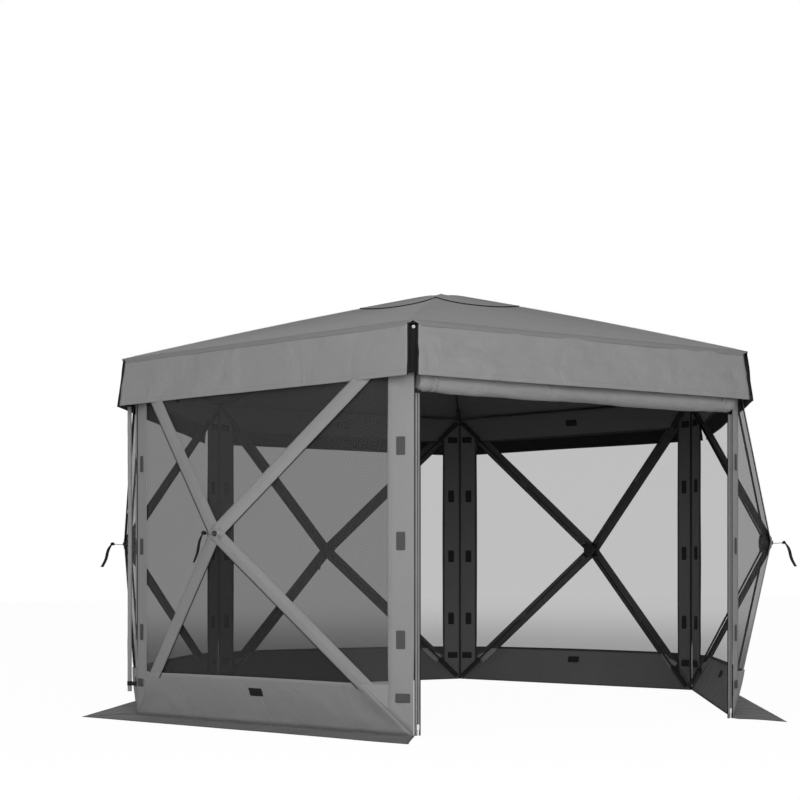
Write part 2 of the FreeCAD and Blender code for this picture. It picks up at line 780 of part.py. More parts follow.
# ---------------------------------------------------------------- zips, grommets and straps

ZIP_INSET = 14


def corner_zips():
    """A zip tape and its coil up each side of the door."""
    strips = []
    tape_back, coil_depth, foot = 0.75, 2.5, 5
    for side in (-1, 1):
        across = side * (size("wall_side") / 2 - ZIP_INSET)
        tape = add("Box", f"zip_tape_{side + 2}", Length="sizes.tape_width",
                   Width=f"sizes.zip_top - {foot}", Height=str(2 * tape_back))
        coil = add("Box", f"zip_coil_{side + 2}", Length="sizes.coil_width",
                   Width=f"sizes.zip_top - {foot}", Height=str(coil_depth))
        for strip, width, back in ((tape, "tape_width", -tape_back), (coil, "coil_width", 0.9)):
            start = wall_point(DOOR_ANGLE, across - size(width) / 2, foot, back)
            strip.Placement = axes_at(start, along_wall(DOOR_ANGLE), UP)
            strips.append(strip)
    return compound("corner_zips", strips)


def zip_slider(label, side):
    """A zip slider straddling the coil, with its pull tab hanging from the bridge."""
    foot, room, tab_height, tab_seat = 32, 0.6, 1.6, 3
    width, depth = size("slider_width"), size("slider_depth")
    across = side * (size("wall_side") / 2 - ZIP_INSET)
    shell = add("Box", f"{label}_shell", Length="sizes.slider_width",
                Width="sizes.slider_length", Height="sizes.slider_depth")
    channel = add("Box", f"{label}_channel", Length=f"sizes.coil_width + {room}",
                  Width="sizes.slider_length + 2", Height="3")
    channel.Placement.Base = Vector((width - size("coil_width") - room) / 2, -1, -0.2)
    shell_cut = cut(f"{label}_body", shell, channel)
    tab = add("Box", f"{label}_tab", Length="sizes.pull_width", Width="sizes.pull_length",
              Height=str(tab_height))
    tab.Placement.Base = Vector(
        (width - size("pull_width")) / 2, -size("pull_length") - 0.5, depth - tab_seat
    )
    eye = add("Box", f"{label}_eye", Length="3", Width="4", Height=str(tab_height))
    eye.Placement.Base = Vector(width / 2 - 1.5, -2.5, depth - tab_seat)
    whole = fuse(label, [shell_cut, tab, eye])
    start = wall_point(DOOR_ANGLE, across - width / 2, foot, 1)
    whole.Placement = axes_at(start, along_wall(DOOR_ANGLE), UP)
    return whole


def grommets():
    """Grommets at the net points, and a rivet at the top of each slit in the valance."""
    pieces = []
    for wall, angle in HUB_WALLS.items():
        grommet = ring(f"grommet_{wall}", "sizes.grommet_radius", "sizes.grommet_bore", "2")
        start = wall_point(angle, 0, size("hub_height"), size("wall_bulge") - 5)
        grommet.Placement = axis_at(start, outward(angle))
        pieces.append(grommet)
    for corner, angle in CORNERS.items():
        rivet = add("Cylinder", f"rivet_{corner}", Radius="sizes.rivet_radius",
                    Height="sizes.rivet_height")
        reach = size("roof_radius") - size("rivet_inset")
        start = CENTRE + outward(angle) * reach + UP * (size("eave_height") - 14)
        rivet.Placement = axis_at(start, outward(angle))
        pieces.append(rivet)
    return compound("grommets", pieces)


def pull_strap(wall, angle):
    """The light link through the grommet, its knot, and the black tail."""
    start_out = size("wall_bulge") - size("hub_depth") + size("plate_seat")
    start_out += size("socket_wall") + 0.1
    reach = size("wall_bulge") + size("strap_reach")
    link = add("Cylinder", f"strap_link_{wall}", Radius="2.5")
    link.Height = reach - start_out
    link.Placement = axis_at(
        wall_point(angle, 0, size("hub_height"), start_out), outward(angle)
    )
    knot_half, knot_radius = 12, 6
    knot = add("Cylinder", f"strap_knot_{wall}", Radius=str(knot_radius), Height=str(2 * knot_half))
    knot.Placement = axis_at(
        wall_point(angle, -knot_half, size("hub_height"), reach + 2), along_wall(angle)
    )
    tail = add(
        "Box", f"strap_tail_{wall}", Length="sizes.strap_width", Width="sizes.strap_tail",
        Height=str(STRAP_CLOTH),
    )
    fall = outward(angle) * STRAP_FALL.x + UP * STRAP_FALL.z
    corner = wall_point(angle, size("strap_width") / 2, size("hub_height"), reach)
    tail.Placement = axes_at(corner, along_wall(angle) * -1, fall)
    return fuse(f"pull_strap_{wall}", [link, knot, tail])


# ---------------------------------------------------------------- assembly

for wall_name, wall_angle in HUB_WALLS.items():
    sub_parts.append(net_wall(wall_name, wall_angle))
    sub_parts.extend(wall_poles(wall_name, wall_angle))
    sub_parts.extend(wall_hub(wall_name, wall_angle))
    sub_parts.append(pull_strap(wall_name, wall_angle))
sub_parts.extend(roof_poles())
sub_parts.extend(roof_hub())
sub_parts.append(wall_borders())
sub_parts.append(hook_patches())
sub_parts.append(compound("webbing_tabs_and_ties", corner_webbing() + roll_ties()))
sub_parts.append(roof_canopy())
sub_parts.append(crown_patch())
sub_parts.append(valance())
sub_parts.append(ground_skirt())
sub_parts.append(rolled_panels())
sub_parts.append(corner_zips())
sub_parts.append(zip_slider("zip_slider_left", -1))
sub_parts.append(zip_slider("zip_slider_right", 1))
sub_parts.append(grommets())

doc.recompute()
faults = [item.Name for item in doc.Objects if {"Invalid", "Error"} & set(item.State)]
faults += [p.Label for p in sub_parts if p.Shape.isNull() or not p.Shape.isValid()]
if faults:
    raise RuntimeError(f"these did not build: {faults}")

os.makedirs("parts", exist_ok=True)
for sub_part in sub_parts:
    sub_part.Shape.exportStep(f"parts/{sub_part.Label}.step")
print(len(sub_parts), "sub-parts")
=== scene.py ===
import json
import math

import bmesh
import bpy
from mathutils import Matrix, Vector, noise


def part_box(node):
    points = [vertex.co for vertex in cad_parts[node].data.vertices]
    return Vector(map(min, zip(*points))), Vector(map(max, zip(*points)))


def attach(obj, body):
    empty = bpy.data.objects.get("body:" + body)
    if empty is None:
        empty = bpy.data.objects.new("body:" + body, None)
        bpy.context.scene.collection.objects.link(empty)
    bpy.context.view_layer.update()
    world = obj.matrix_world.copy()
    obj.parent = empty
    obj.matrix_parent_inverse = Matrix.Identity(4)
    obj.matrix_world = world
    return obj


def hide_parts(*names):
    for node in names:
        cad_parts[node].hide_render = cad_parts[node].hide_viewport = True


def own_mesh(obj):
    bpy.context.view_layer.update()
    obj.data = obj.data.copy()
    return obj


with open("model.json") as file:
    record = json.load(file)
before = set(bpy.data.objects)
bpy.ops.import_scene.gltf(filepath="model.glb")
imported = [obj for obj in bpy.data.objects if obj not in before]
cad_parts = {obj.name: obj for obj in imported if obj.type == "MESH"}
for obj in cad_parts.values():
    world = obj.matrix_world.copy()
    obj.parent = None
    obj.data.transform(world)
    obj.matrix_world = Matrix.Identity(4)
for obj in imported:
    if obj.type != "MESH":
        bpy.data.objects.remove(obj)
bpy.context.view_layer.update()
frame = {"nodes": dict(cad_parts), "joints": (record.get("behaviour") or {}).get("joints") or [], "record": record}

# ---------------------------------------------------------------- studio
# The tent stands on a plain white floor under a soft even sky, with one broad lamp ahead of
# the door. The camera stands level, low and well back, off the tent's front left corner.

net_low, net_high = (Vector(corner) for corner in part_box("wall_net_rear"))
WALL_SIDE = net_high.x - net_low.x
APOTHEM = WALL_SIDE * math.sqrt(3) / 2
CENTRE = Vector((0, net_low.y - APOTHEM, 0))

CAMERA_BEARING = math.radians(25.95)
CAMERA_DISTANCE = 7.406
CAMERA_HEIGHT = 0.669

camera_data = bpy.data.cameras.new("camera")
camera_data.lens = 59.52
camera_data.sensor_width = 36
camera_data.shift_x = -0.053
camera_data.shift_y = 0.2275
camera = bpy.data.objects.new("camera", camera_data)
bpy.context.scene.collection.objects.link(camera)
look = Vector((math.sin(CAMERA_BEARING), math.cos(CAMERA_BEARING), 0))
camera.location = CENTRE - look * CAMERA_DISTANCE + Vector((0, 0, CAMERA_HEIGHT))
camera.rotation_euler = (math.pi / 2, 0, -CAMERA_BEARING)
bpy.context.scene.camera = camera
bpy.context.scene.view_settings.view_transform = "Standard"


def add_node(tree, kind, links=(), **settings):
    """A shader node with its settings, its plain input values and the links that feed it."""
    made = tree.nodes.new(kind)
    for name, value in settings.items():
        setattr(made, name, value)
    for socket, source in links:
        if hasattr(source, "is_output"):
            tree.links.new(source, made.inputs[socket])
        else:
            made.inputs[socket].default_value = source
    return made


def bare_material(name):
    """A new material and its empty node tree."""
    material = bpy.data.materials.new(name)
    material.use_nodes = True
    material.node_tree.nodes.clear()
    return material, material.node_tree


def seen_directly(tree):
    """1 for rays that come straight from the camera, a mirror or a clear pane, else 0."""
    path = add_node(tree, "ShaderNodeLightPath").outputs
    some = add_node(tree, "ShaderNodeMath", operation="MAXIMUM",
                    links=[(0, path["Is Camera Ray"]), (1, path["Is Glossy Ray"])]).outputs[0]
    return add_node(tree, "ShaderNodeMath", operation="MAXIMUM",
                    links=[(0, some), (1, path["Is Transmission Ray"])]).outputs[0]


SKY_STRENGTH = 0.23
world = bpy.data.worlds.new("studio")
world.use_nodes = True
sky = world.node_tree
sky.nodes.clear()
dim = add_node(sky, "ShaderNodeBackground", links=[("Color", (1, 1, 1, 1)),
                                                   ("Strength", SKY_STRENGTH)])
white = add_node(sky, "ShaderNodeBackground", links=[("Color", (1, 1, 1, 1)), ("Strength", 1.0)])
sky_mix = add_node(sky, "ShaderNodeMixShader", links=[
    (0, seen_directly(sky)), (1, dim.outputs[0]), (2, white.outputs[0])])
add_node(sky, "ShaderNodeOutputWorld", links=[("Surface", sky_mix.outputs[0])])
bpy.context.scene.world = world

floor_material, ground = bare_material("white_floor")
lit = add_node(ground, "ShaderNodeBsdfDiffuse", links=[("Color", (0.85, 0.85, 0.85, 1))])
glow = add_node(ground, "ShaderNodeEmission", links=[("Color", (1, 1, 1, 1)), ("Strength", 1.05)])
seen = seen_directly(ground)
glow_share = add_node(ground, "ShaderNodeMath", operation="MULTIPLY",
                      links=[(0, seen), (1, 0.92)]).outputs[0]
floor_mix = add_node(ground, "ShaderNodeMixShader", links=[
    (0, glow_share), (1, lit.outputs[0]), (2, glow.outputs[0])])
add_node(ground, "ShaderNodeOutputMaterial", links=[("Surface", floor_mix.outputs[0])])
FLOOR_HALF = 40
FLOOR_DROP = 0.0006
floor_mesh = bpy.data.meshes.new("floor")
floor_mesh.from_pydata(
    [(x * FLOOR_HALF, y * FLOOR_HALF, -FLOOR_DROP)
     for x, y in ((-1, -1), (1, -1), (1, 1), (-1, 1))],
    [], [(0, 1, 2, 3)])
floor_mesh.materials.append(floor_material)
floor = bpy.data.objects.new("floor", floor_mesh)
bpy.context.scene.collection.objects.link(floor)


def add_lamp(name, place, size, watts):
    """A square soft lamp that faces the tent's middle."""
    lamp_data = bpy.data.lights.new(name, "AREA")
    lamp_data.size = size
    lamp_data.energy = watts
    lamp = bpy.data.objects.new(name, lamp_data)
    lamp.location = CENTRE + Vector(place)
    aim = CENTRE + Vector((0, 0, 1.2)) - lamp.location
    lamp.rotation_euler = aim.to_track_quat("-Z", "Y").to_euler()
    bpy.context.scene.collection.objects.link(lamp)


add_lamp("front_lamp", (-4.0, -10.0, 2.6), 5.0, 610)
add_lamp("left_lamp", (-9.0, -4.5, 2.2), 4.0, 75)

# ---------------------------------------------------------------- net panels
# Five walls are fine black netting, each pulled out to a point by its hub, so that it stands in
# four tight facets. The netting is sewn to the borders and gives a little between the poles.

HUB_WALLS = {"left_front": -150, "left_rear": 150, "rear": 90, "right_rear": 30,
             "right_front": -30}
DOOR_ANGLE = -90
CORNERS = {"front_left": -120, "left": 180, "rear_left": 120, "rear_right": 60, "right": 0,
           "front_right": -60}
WALL_LOW = net_low.z
WALL_HIGH = net_high.z
cap_low, cap_high = (Vector(corner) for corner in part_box("hub_cap_rear"))
HUB_HEIGHT = (cap_low.z + cap_high.z) / 2
grommet_high = Vector(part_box("grommets")[1])
POINT_LEAD = 0.003
BULGE = grommet_high.y + POINT_LEAD - net_low.y
HALF_SIDE = WALL_SIDE / 2
SIDE_BORDER = 0.108
TOP_BORDER = 0.161
BOTTOM_BORDER = 0.224
NET_SAG = 0.010


def outward(angle):
    return Vector((math.cos(math.radians(angle)), math.sin(math.radians(angle)), 0))


def along(angle):
    return Vector((0, 0, 1)).cross(outward(angle))


def wall_point(angle, across, height, out):
    """A point by its place across a wall, its height and its distance out of the wall plane."""
    foot = CENTRE + outward(angle) * (APOTHEM + out) + along(angle) * across
    return foot + Vector((0, 0, height))


EDGES = {
    "lower": ((-HALF_SIDE, WALL_LOW), (HALF_SIDE, WALL_LOW), BOTTOM_BORDER),
    "right": ((HALF_SIDE, WALL_LOW), (HALF_SIDE, WALL_HIGH), SIDE_BORDER),
    "upper": ((HALF_SIDE, WALL_HIGH), (-HALF_SIDE, WALL_HIGH), TOP_BORDER),
    "left": ((-HALF_SIDE, WALL_HIGH), (-HALF_SIDE, WALL_LOW), SIDE_BORDER),
}


def border_share(facet):
    """The share of a facet's slope at which its net gives way to the border."""
    reach = {"lower": HUB_HEIGHT - WALL_LOW, "upper": WALL_HIGH - HUB_HEIGHT}
    return 1 - EDGES[facet][2] / reach.get(facet, HALF_SIDE)


def facet_normal(angle, facet):
    start, end, _ = EDGES[facet]
    a = wall_point(angle, *start, 0)
    b = wall_point(angle, *end, 0)
    tip = wall_point(angle, 0, HUB_HEIGHT, BULGE)
    return (b - a).cross(tip - a).normalized()


def facet_point(angle, facet, share, sideways, lift=0.0, sag=0.0):
    """A point of a facet: share runs from the hub to the edge, sideways from pole to pole."""
    start, end, _ = EDGES[facet]
    way = (sideways + 1) / 2
    rim = wall_point(
        angle, start[0] + (end[0] - start[0]) * way, start[1] + (end[1] - start[1]) * way, 0)
    tip = wall_point(angle, 0, HUB_HEIGHT, BULGE)
    dip = -sag * (1 - sideways ** 2) * math.sin(math.pi * min(share, 1))
    return tip + (rim - tip) * share + facet_normal(angle, facet) * (lift + dip)


def mesh_object(name, grids, materials, face_way=None):
    """One mesh from several grids of points, with a UV map in metres along rows and columns."""
    mesh = bmesh.new()
    uv_layer = mesh.loops.layers.uv.new("cloth")
    for grid in grids:
        verts = [[mesh.verts.new(point) for point in row] for row in grid]
        down = [0.0]
        for above, below in zip(grid, grid[1:]):
            down.append(down[-1] + (below[len(below) // 2] - above[len(above) // 2]).length)
        middle = grid[len(grid) // 2]
        sideways = [0.0]
        for left, right in zip(middle, middle[1:]):
            sideways.append(sideways[-1] + (right - left).length)
        for i in range(len(grid) - 1):
            for j in range(len(grid[0]) - 1):
                corners = [(i, j), (i + 1, j), (i + 1, j + 1), (i, j + 1)]
                face = mesh.faces.new([verts[r][c] for r, c in corners])
                face.smooth = True
                for loop, (r, c) in zip(face.loops, corners):
                    loop[uv_layer].uv = (sideways[c], down[r])
    bmesh.ops.remove_doubles(mesh, verts=mesh.verts, dist=1e-5)
    if face_way is not None:
        mesh.normal_update()
        turned = [f for f in mesh.faces if f.normal.dot(face_way(f.calc_center_median())) < 0]
        bmesh.ops.reverse_faces(mesh, faces=turned)
    data = bpy.data.meshes.new(name)
    mesh.to_mesh(data)
    mesh.free()
    for material in materials:
        data.materials.append(material)
    made = bpy.data.objects.new(name, data)
    bpy.context.scene.collection.objects.link(made)
    return made


def face_outwards(piece):
    """Turns the faces of a closed piece outwards."""
    work = bmesh.new()
    work.from_mesh(piece.data)
    bmesh.ops.recalc_face_normals(work, faces=work.faces)
    work.to_mesh(piece.data)
    work.free()


def bake_modifiers(piece):
    """Turns a piece's modifiers into plain mesh."""
    bpy.context.view_layer.update()
    result = piece.evaluated_get(bpy.context.evaluated_depsgraph_get())
    data = bpy.data.meshes.new_from_object(result)
    piece.modifiers.clear()
    piece.data = data
    return piece


def thicken(piece, thickness, inner_slot=0):
    """Gives cloth its thickness inwards, with the material of slot inner_slot on the inner side; for cloth that is
    a darker copy, painted shade.
    """
    wall = piece.modifiers.new("thickness", "SOLIDIFY")
    wall.thickness = thickness
    wall.offset = -1
    wall.material_offset = inner_slot
    return bake_modifiers(piece)


def steps(low, high, count):
    return [low + (high - low) * i / count for i in range(count + 1)]


def tie_to_hub(piece):
    """Puts a piece of a hub wall on the tent cover's body, with a mesh of its own."""
    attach(piece, "tent_cover")
    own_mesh(piece)


def netting(name, cover):
    """Fine black netting: a thread pattern over holes, denser near the ground, where that darkening is painted
    shade.
    """
    material, tree = bare_material(name)
    uv = add_node(tree, "ShaderNodeUVMap", uv_map="cloth").outputs[0]
    threads = []
    for axis in ("X", "Y"):
        threads.append(add_node(
            tree, "ShaderNodeTexWave", bands_direction=axis, wave_profile="SIN",
            links=[("Vector", uv), ("Scale", 180.0)]).outputs["Fac"])
    weave = add_node(tree, "ShaderNodeMath", operation="MAXIMUM",
                     links=[(0, threads[0]), (1, threads[1])]).outputs[0]
    place = add_node(tree, "ShaderNodeTexCoord").outputs["Object"]
    height = add_node(tree, "ShaderNodeSeparateXYZ", links=[(0, place)]).outputs["Z"]
    # Painted shade: the net closes up and darkens towards the ground.
    low = add_node(tree, "ShaderNodeMapRange", interpolation_type="SMOOTHSTEP", links=[
        ("Value", height), ("From Min", 0.20), ("From Max", 0.55), ("To Min", 0.20),
        ("To Max", 0.0)]).outputs[0]
    thread_cover = add_node(tree, "ShaderNodeMath", operation="MULTIPLY_ADD",
                            links=[(0, weave), (1, 0.08), (2, cover)]).outputs[0]
    closed = add_node(tree, "ShaderNodeMath", operation="ADD",
                       links=[(0, thread_cover), (1, low)]).outputs[0]
    clear = add_node(tree, "ShaderNodeBsdfTransparent", links=[("Color", (1, 1, 1, 1))])
    thread = add_node(tree, "ShaderNodeBsdfPrincipled", links=[
        ("Base Color", (0.017, 0.017, 0.0175, 1)), ("Roughness", 0.75)])
    mix = add_node(tree, "ShaderNodeMixShader", links=[
        (0, closed), (1, clear.outputs[0]), (2, thread.outputs[0])])
    add_node(tree, "ShaderNodeOutputMaterial", links=[("Surface", mix.outputs[0])])
    return material


net_material = netting("black_netting", 0.43)
shaded_net = netting("shaded_netting", 0.60)
HUB_HOLE_SHARE = 0.02
NET_TUCK = 0.012
for wall, angle in HUB_WALLS.items():
    facets = []
    for facet in EDGES:
        outer_share = border_share(facet) + NET_TUCK
        facets.append([
            [facet_point(angle, facet, share, side, 0.0, NET_SAG) for side in steps(-1, 1, 24)]
            for share in steps(HUB_HOLE_SHARE, outer_share, 20)])
    material = shaded_net if wall == "left_front" else net_material
    panel = mesh_object(f"net_panel_{wall}", facets, [material],
                        lambda _, a=angle: outward(a))
    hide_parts(f"wall_net_{wall}")
    tie_to_hub(panel)

# ---------------------------------------------------------------- wall borders
# Coated grey cloth frames each net: a strip up each corner, one under the roof, and a deep one
# at the ground that puckers where the poles press into its lower corners.

THREAD_PITCH = 0.0009


def coated_cloth(name, colour, roughness=0.78, mottle=0.10, crease=0.5):
    """Plain-woven polyester with a matt coating: fine weave, faint mottling, soft creases."""
    material, tree = bare_material(name)
    uv = add_node(tree, "ShaderNodeUVMap", uv_map="cloth").outputs[0]
    place = add_node(tree, "ShaderNodeTexCoord").outputs["Object"]
    warp, weft = (add_node(
        tree, "ShaderNodeTexWave", bands_direction=axis, wave_profile="SIN",
        links=[("Vector", uv), ("Scale", 0.314 / THREAD_PITCH)]).outputs["Fac"]
        for axis in ("X", "Y"))
    weave = add_node(tree, "ShaderNodeMath", operation="MULTIPLY",
                     links=[(0, warp), (1, weft)]).outputs[0]
    cloud = add_node(tree, "ShaderNodeTexNoise", links=[
        ("Vector", place), ("Scale", 1.6), ("Detail", 4.0), ("Roughness", 0.55)]).outputs["Fac"]
    dark = tuple(c * (1 - mottle) for c in colour)
    pale = tuple(c * (1 + mottle) for c in colour)
    tint = add_node(tree, "ShaderNodeMix", data_type="RGBA", links=[
        ("Factor", cloud), (6, (*dark, 1)), (7, (*pale, 1))]).outputs[2]
    slub = add_node(tree, "ShaderNodeTexNoise", links=[
        ("Vector", place), ("Scale", 240.0), ("Detail", 2.0)]).outputs["Fac"]
    slub_shade = add_node(tree, "ShaderNodeMapRange", links=[
        ("Value", slub), ("To Min", 0.95), ("To Max", 1.05)]).outputs[0]
    shade = add_node(tree, "ShaderNodeMix", data_type="RGBA", blend_type="MULTIPLY", links=[
        ("Factor", 1.0), (6, tint)])
    tree.links.new(slub_shade, shade.inputs[7])
    folds = add_node(tree, "ShaderNodeTexNoise", links=[
        ("Vector", place), ("Scale", 5.5), ("Detail", 3.0), ("Distortion", 0.6)]).outputs["Fac"]
    fold_bump = add_node(tree, "ShaderNodeBump", links=[
        ("Height", folds), ("Strength", crease), ("Distance", 0.022)]).outputs[0]
    bump = add_node(tree, "ShaderNodeBump", links=[
        ("Height", weave), ("Strength", 0.25), ("Distance", 0.0004), ("Normal", fold_bump)])
    rough = add_node(tree, "ShaderNodeMapRange", links=[
        ("Value", cloud), ("To Min", roughness - 0.06), ("To Max", roughness + 0.06)]).outputs[0]
    surface = add_node(tree, "ShaderNodeBsdfPrincipled", links=[
        ("Base Color", shade.outputs[2]), ("Roughness", rough), ("Normal", bump.outputs[0]),
        ("Sheen Weight", 0.12), ("Sheen Roughness", 0.5), ("Specular IOR Level", 0.35)])
    add_node(tree, "ShaderNodeOutputMaterial", links=[("Surface", surface.outputs[0])])
    return material


wall_cloth = coated_cloth("wall_cloth", (0.252, 0.252, 0.255))
# Painted shade: the two darker copies of the wall cloth below colour the cloth's inner sides, for the shade inside
# the tent.
band_inner_shade = coated_cloth("band_inner_shade", (0.184, 0.184, 0.188), roughness=0.82)
inner_side_shade = coated_cloth("inner_side_shade", (0.095, 0.095, 0.098), roughness=0.82)
CLOTH = 0.0007


def corner_pucker(point, angle):
    """How far the cloth stands out in the folds that fan from a wall's lower corners."""
    lift = 0.0
    for side in (-1, 1):
        corner = wall_point(angle, side * HALF_SIDE, WALL_LOW, 0)
        reach = point - corner
        far = reach.length
        if far < 1e-6:
            continue
        lean = math.atan2(reach.z, -side * reach.dot(along(angle)))
        fold = math.cos(9 * (lean - 0.78)) * math.exp(-((far - 0.24) / 0.14) ** 2)
        lift += 0.0075 * fold * math.exp(-((lean - 0.78) / 0.5) ** 2)
    return lift


def border_lift(point):
    """The deep border lies over the pole bands; the other borders lie under them."""
    rise = min(max((0.40 - point.z) / 0.14, 0), 1)
    return 0.0018 + 0.0034 * rise * rise * (3 - 2 * rise)


def border_rows(angle, facet, inner, outer, proud, count):
    rows = []
    for share in steps(inner, outer, count):
        row = []
        for side in steps(-1, 1, 48):
            bow = 0.004 * (1 - side ** 2) * (outer - share) / max(outer - inner, 1e-6)
            point = facet_point(angle, facet, share - bow, side)
            ripple = noise.noise(point * 3.1) * 0.012 * (1 - share)
            lift = border_lift(point) + proud + ripple + corner_pucker(point, angle)
            row.append(point + outward(angle) * lift)
        rows.append(row)
    return rows


def gusset_rows(angle, facet, level):
    """The border's cloth beyond a ridge, where a deep border meets a side border."""
    height = HUB_HEIGHT + (EDGES[level][0][1] - HUB_HEIGHT) * border_share(level)
    rows = []
    for share in steps(border_share(level), border_share(facet) + 0.008, 10):
        row = []
        for part in steps(0, 1, 8):
            rim = EDGES[level][0][1]
            ridge = HUB_HEIGHT + (rim - HUB_HEIGHT) * share
            wanted = ridge + (height - ridge) * part
            at = HUB_HEIGHT + (wanted - HUB_HEIGHT) / share
            sideways = (at - WALL_LOW) / (WALL_HIGH - WALL_LOW) * 2 - 1
            point = facet_point(angle, facet, share, -sideways if facet == "left" else sideways)
            ripple = noise.noise(point * 3.1) * 0.012 * (1 - share)
            lift = border_lift(point) + ripple + corner_pucker(point, angle)
            row.append(point + outward(angle) * lift)
        rows.append(row)
    return rows


for wall, angle in HUB_WALLS.items():
    strips = [border_rows(angle, facet, border_share(facet), 1.0, 0.0, 10) for facet in EDGES]
    for facet in ("left", "right"):
        strips += [gusset_rows(angle, facet, level) for level in ("lower", "upper")]
    border = mesh_object(f"wall_border_{wall}", strips, [wall_cloth, inner_side_shade],
                         lambda _, a=angle: outward(a))
    thicken(border, CLOTH, 1)
    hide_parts("wall_borders")
    tie_to_hub(border)

# ---------------------------------------------------------------- pole bands
# A folded strip of the wall cloth runs from each corner to the hub over the net, with the pole
# behind it. One strip crosses over the other at the hub, and a black cord along its lower edge paints the shade of
# the sleeve's fold.

BAND_HALF = 0.036
UNDER_LIFT = 0.0042
OVER_LIFT = 0.0052
COLLAR_LIFT = 0.0092
COLLAR_RADIUS = 0.0315
SHADE_LINE_RADIUS = 0.0024
BAND_ENDS = {"lower_left": ("lower", "left", -1, WALL_LOW),
             "lower_right": ("lower", "right", 1, WALL_LOW),
             "upper_left": ("upper", "left", -1, WALL_HIGH),
             "upper_right": ("upper", "right", 1, WALL_HIGH)}


def band_frame(angle, end):
    """The ridge that a band follows: its hub end, its corner end, and the two facets' ways."""
    level, flank, side, height = BAND_ENDS[end]
    tip = wall_point(angle, 0, HUB_HEIGHT, BULGE)
    corner = wall_point(angle, side * HALF_SIDE, height, 0)
    ridge = (corner - tip).normalized()
    ways = []
    for facet in (level, flank):
        normal = facet_normal(angle, facet)
        way = normal.cross(ridge).normalized()
        middle = facet_point(angle, facet, 0.5, 0)
        if way.dot(middle - (tip + ridge * 0.4)) < 0:
            way = -way
        ways.append((way, normal))
    return tip, corner, ways


def band_point(angle, end, share, offset, lift):
    """A point of a band; offset is positive towards the sill or the roof, else to the flank."""
    tip, corner, ways = band_frame(angle, end)
    way, normal = ways[0] if offset >= 0 else ways[1]
    both = (ways[0][1] + ways[1][1]).normalized()
    fall = way.dot(both)
    way = way - both * (fall * 0.55)
    return tip + (corner - tip) * share + way * abs(offset) + both * lift


def band_rows(angle, end, lift):
    tip, corner, _ = band_frame(angle, end)
    length = (corner - tip).length
    stop = 1 - 0.020 / length if end.startswith("upper") else border_share("lower") + 0.10
    rows = []
    for share in steps(0.0, stop, 40):
        half = min(BAND_HALF, max((1 - share) * length * 0.66, 0.004))
        if end.startswith("lower"):
            over = max(share - border_share("lower") - 0.01, 0) / 0.09
            lift = min(lift, UNDER_LIFT) * (1 - over) - 0.004 * over
        wander = noise.noise(Vector((share * 5, angle, len(end)))) * 0.0012
        rows.append([
            band_point(angle, end, share, half * across + wander, lift)
            for across in (-1, -0.75, -0.5, -0.25, -0.1, 0, 0.1, 0.25, 0.5, 0.75, 1)])
    return rows


def tube_rows(points, radius, sides=8):
    """Rings round a line of points, for cords and piping."""
    rows = []
    for i, point in enumerate(points):
        run = (points[min(i + 1, len(points) - 1)] - points[max(i - 1, 0)]).normalized()
        side = run.cross(Vector((0.13, 0.21, 0.97))).normalized()
        up = run.cross(side)
        rows.append([
            point + (side * math.cos(turn) + up * math.sin(turn)) * radius
            for turn in steps(0, 2 * math.pi, sides)])
    return rows


def black_tape(name, colour=(0.007, 0.007, 0.0075), rib=0.0022):
    """Woven black webbing with ribs across its length."""
    material, tree = bare_material(name)
    uv = add_node(tree, "ShaderNodeUVMap", uv_map="cloth").outputs[0]
    ribs = add_node(tree, "ShaderNodeTexWave", bands_direction="Y", links=[
        ("Vector", uv), ("Scale", 0.314 / rib)]).outputs["Fac"]
    place = add_node(tree, "ShaderNodeTexCoord").outputs["Object"]
    wear = add_node(tree, "ShaderNodeTexNoise", links=[
        ("Vector", place), ("Scale", 30.0), ("Detail", 3.0)]).outputs["Fac"]
    tint = add_node(tree, "ShaderNodeMix", data_type="RGBA", links=[
        ("Factor", wear), (6, (*(c * 0.7 for c in colour), 1)),
        (7, (*(c * 1.6 for c in colour), 1))]).outputs[2]
    bump = add_node(tree, "ShaderNodeBump", links=[
        ("Height", ribs), ("Strength", 0.4), ("Distance", 0.0005)]).outputs[0]
    surface = add_node(tree, "ShaderNodeBsdfPrincipled", links=[
        ("Base Color", tint), ("Roughness", 0.8), ("Normal", bump),
        ("Specular IOR Level", 0.25)])
    add_node(tree, "ShaderNodeOutputMaterial", links=[("Surface", surface.outputs[0])])
    return material


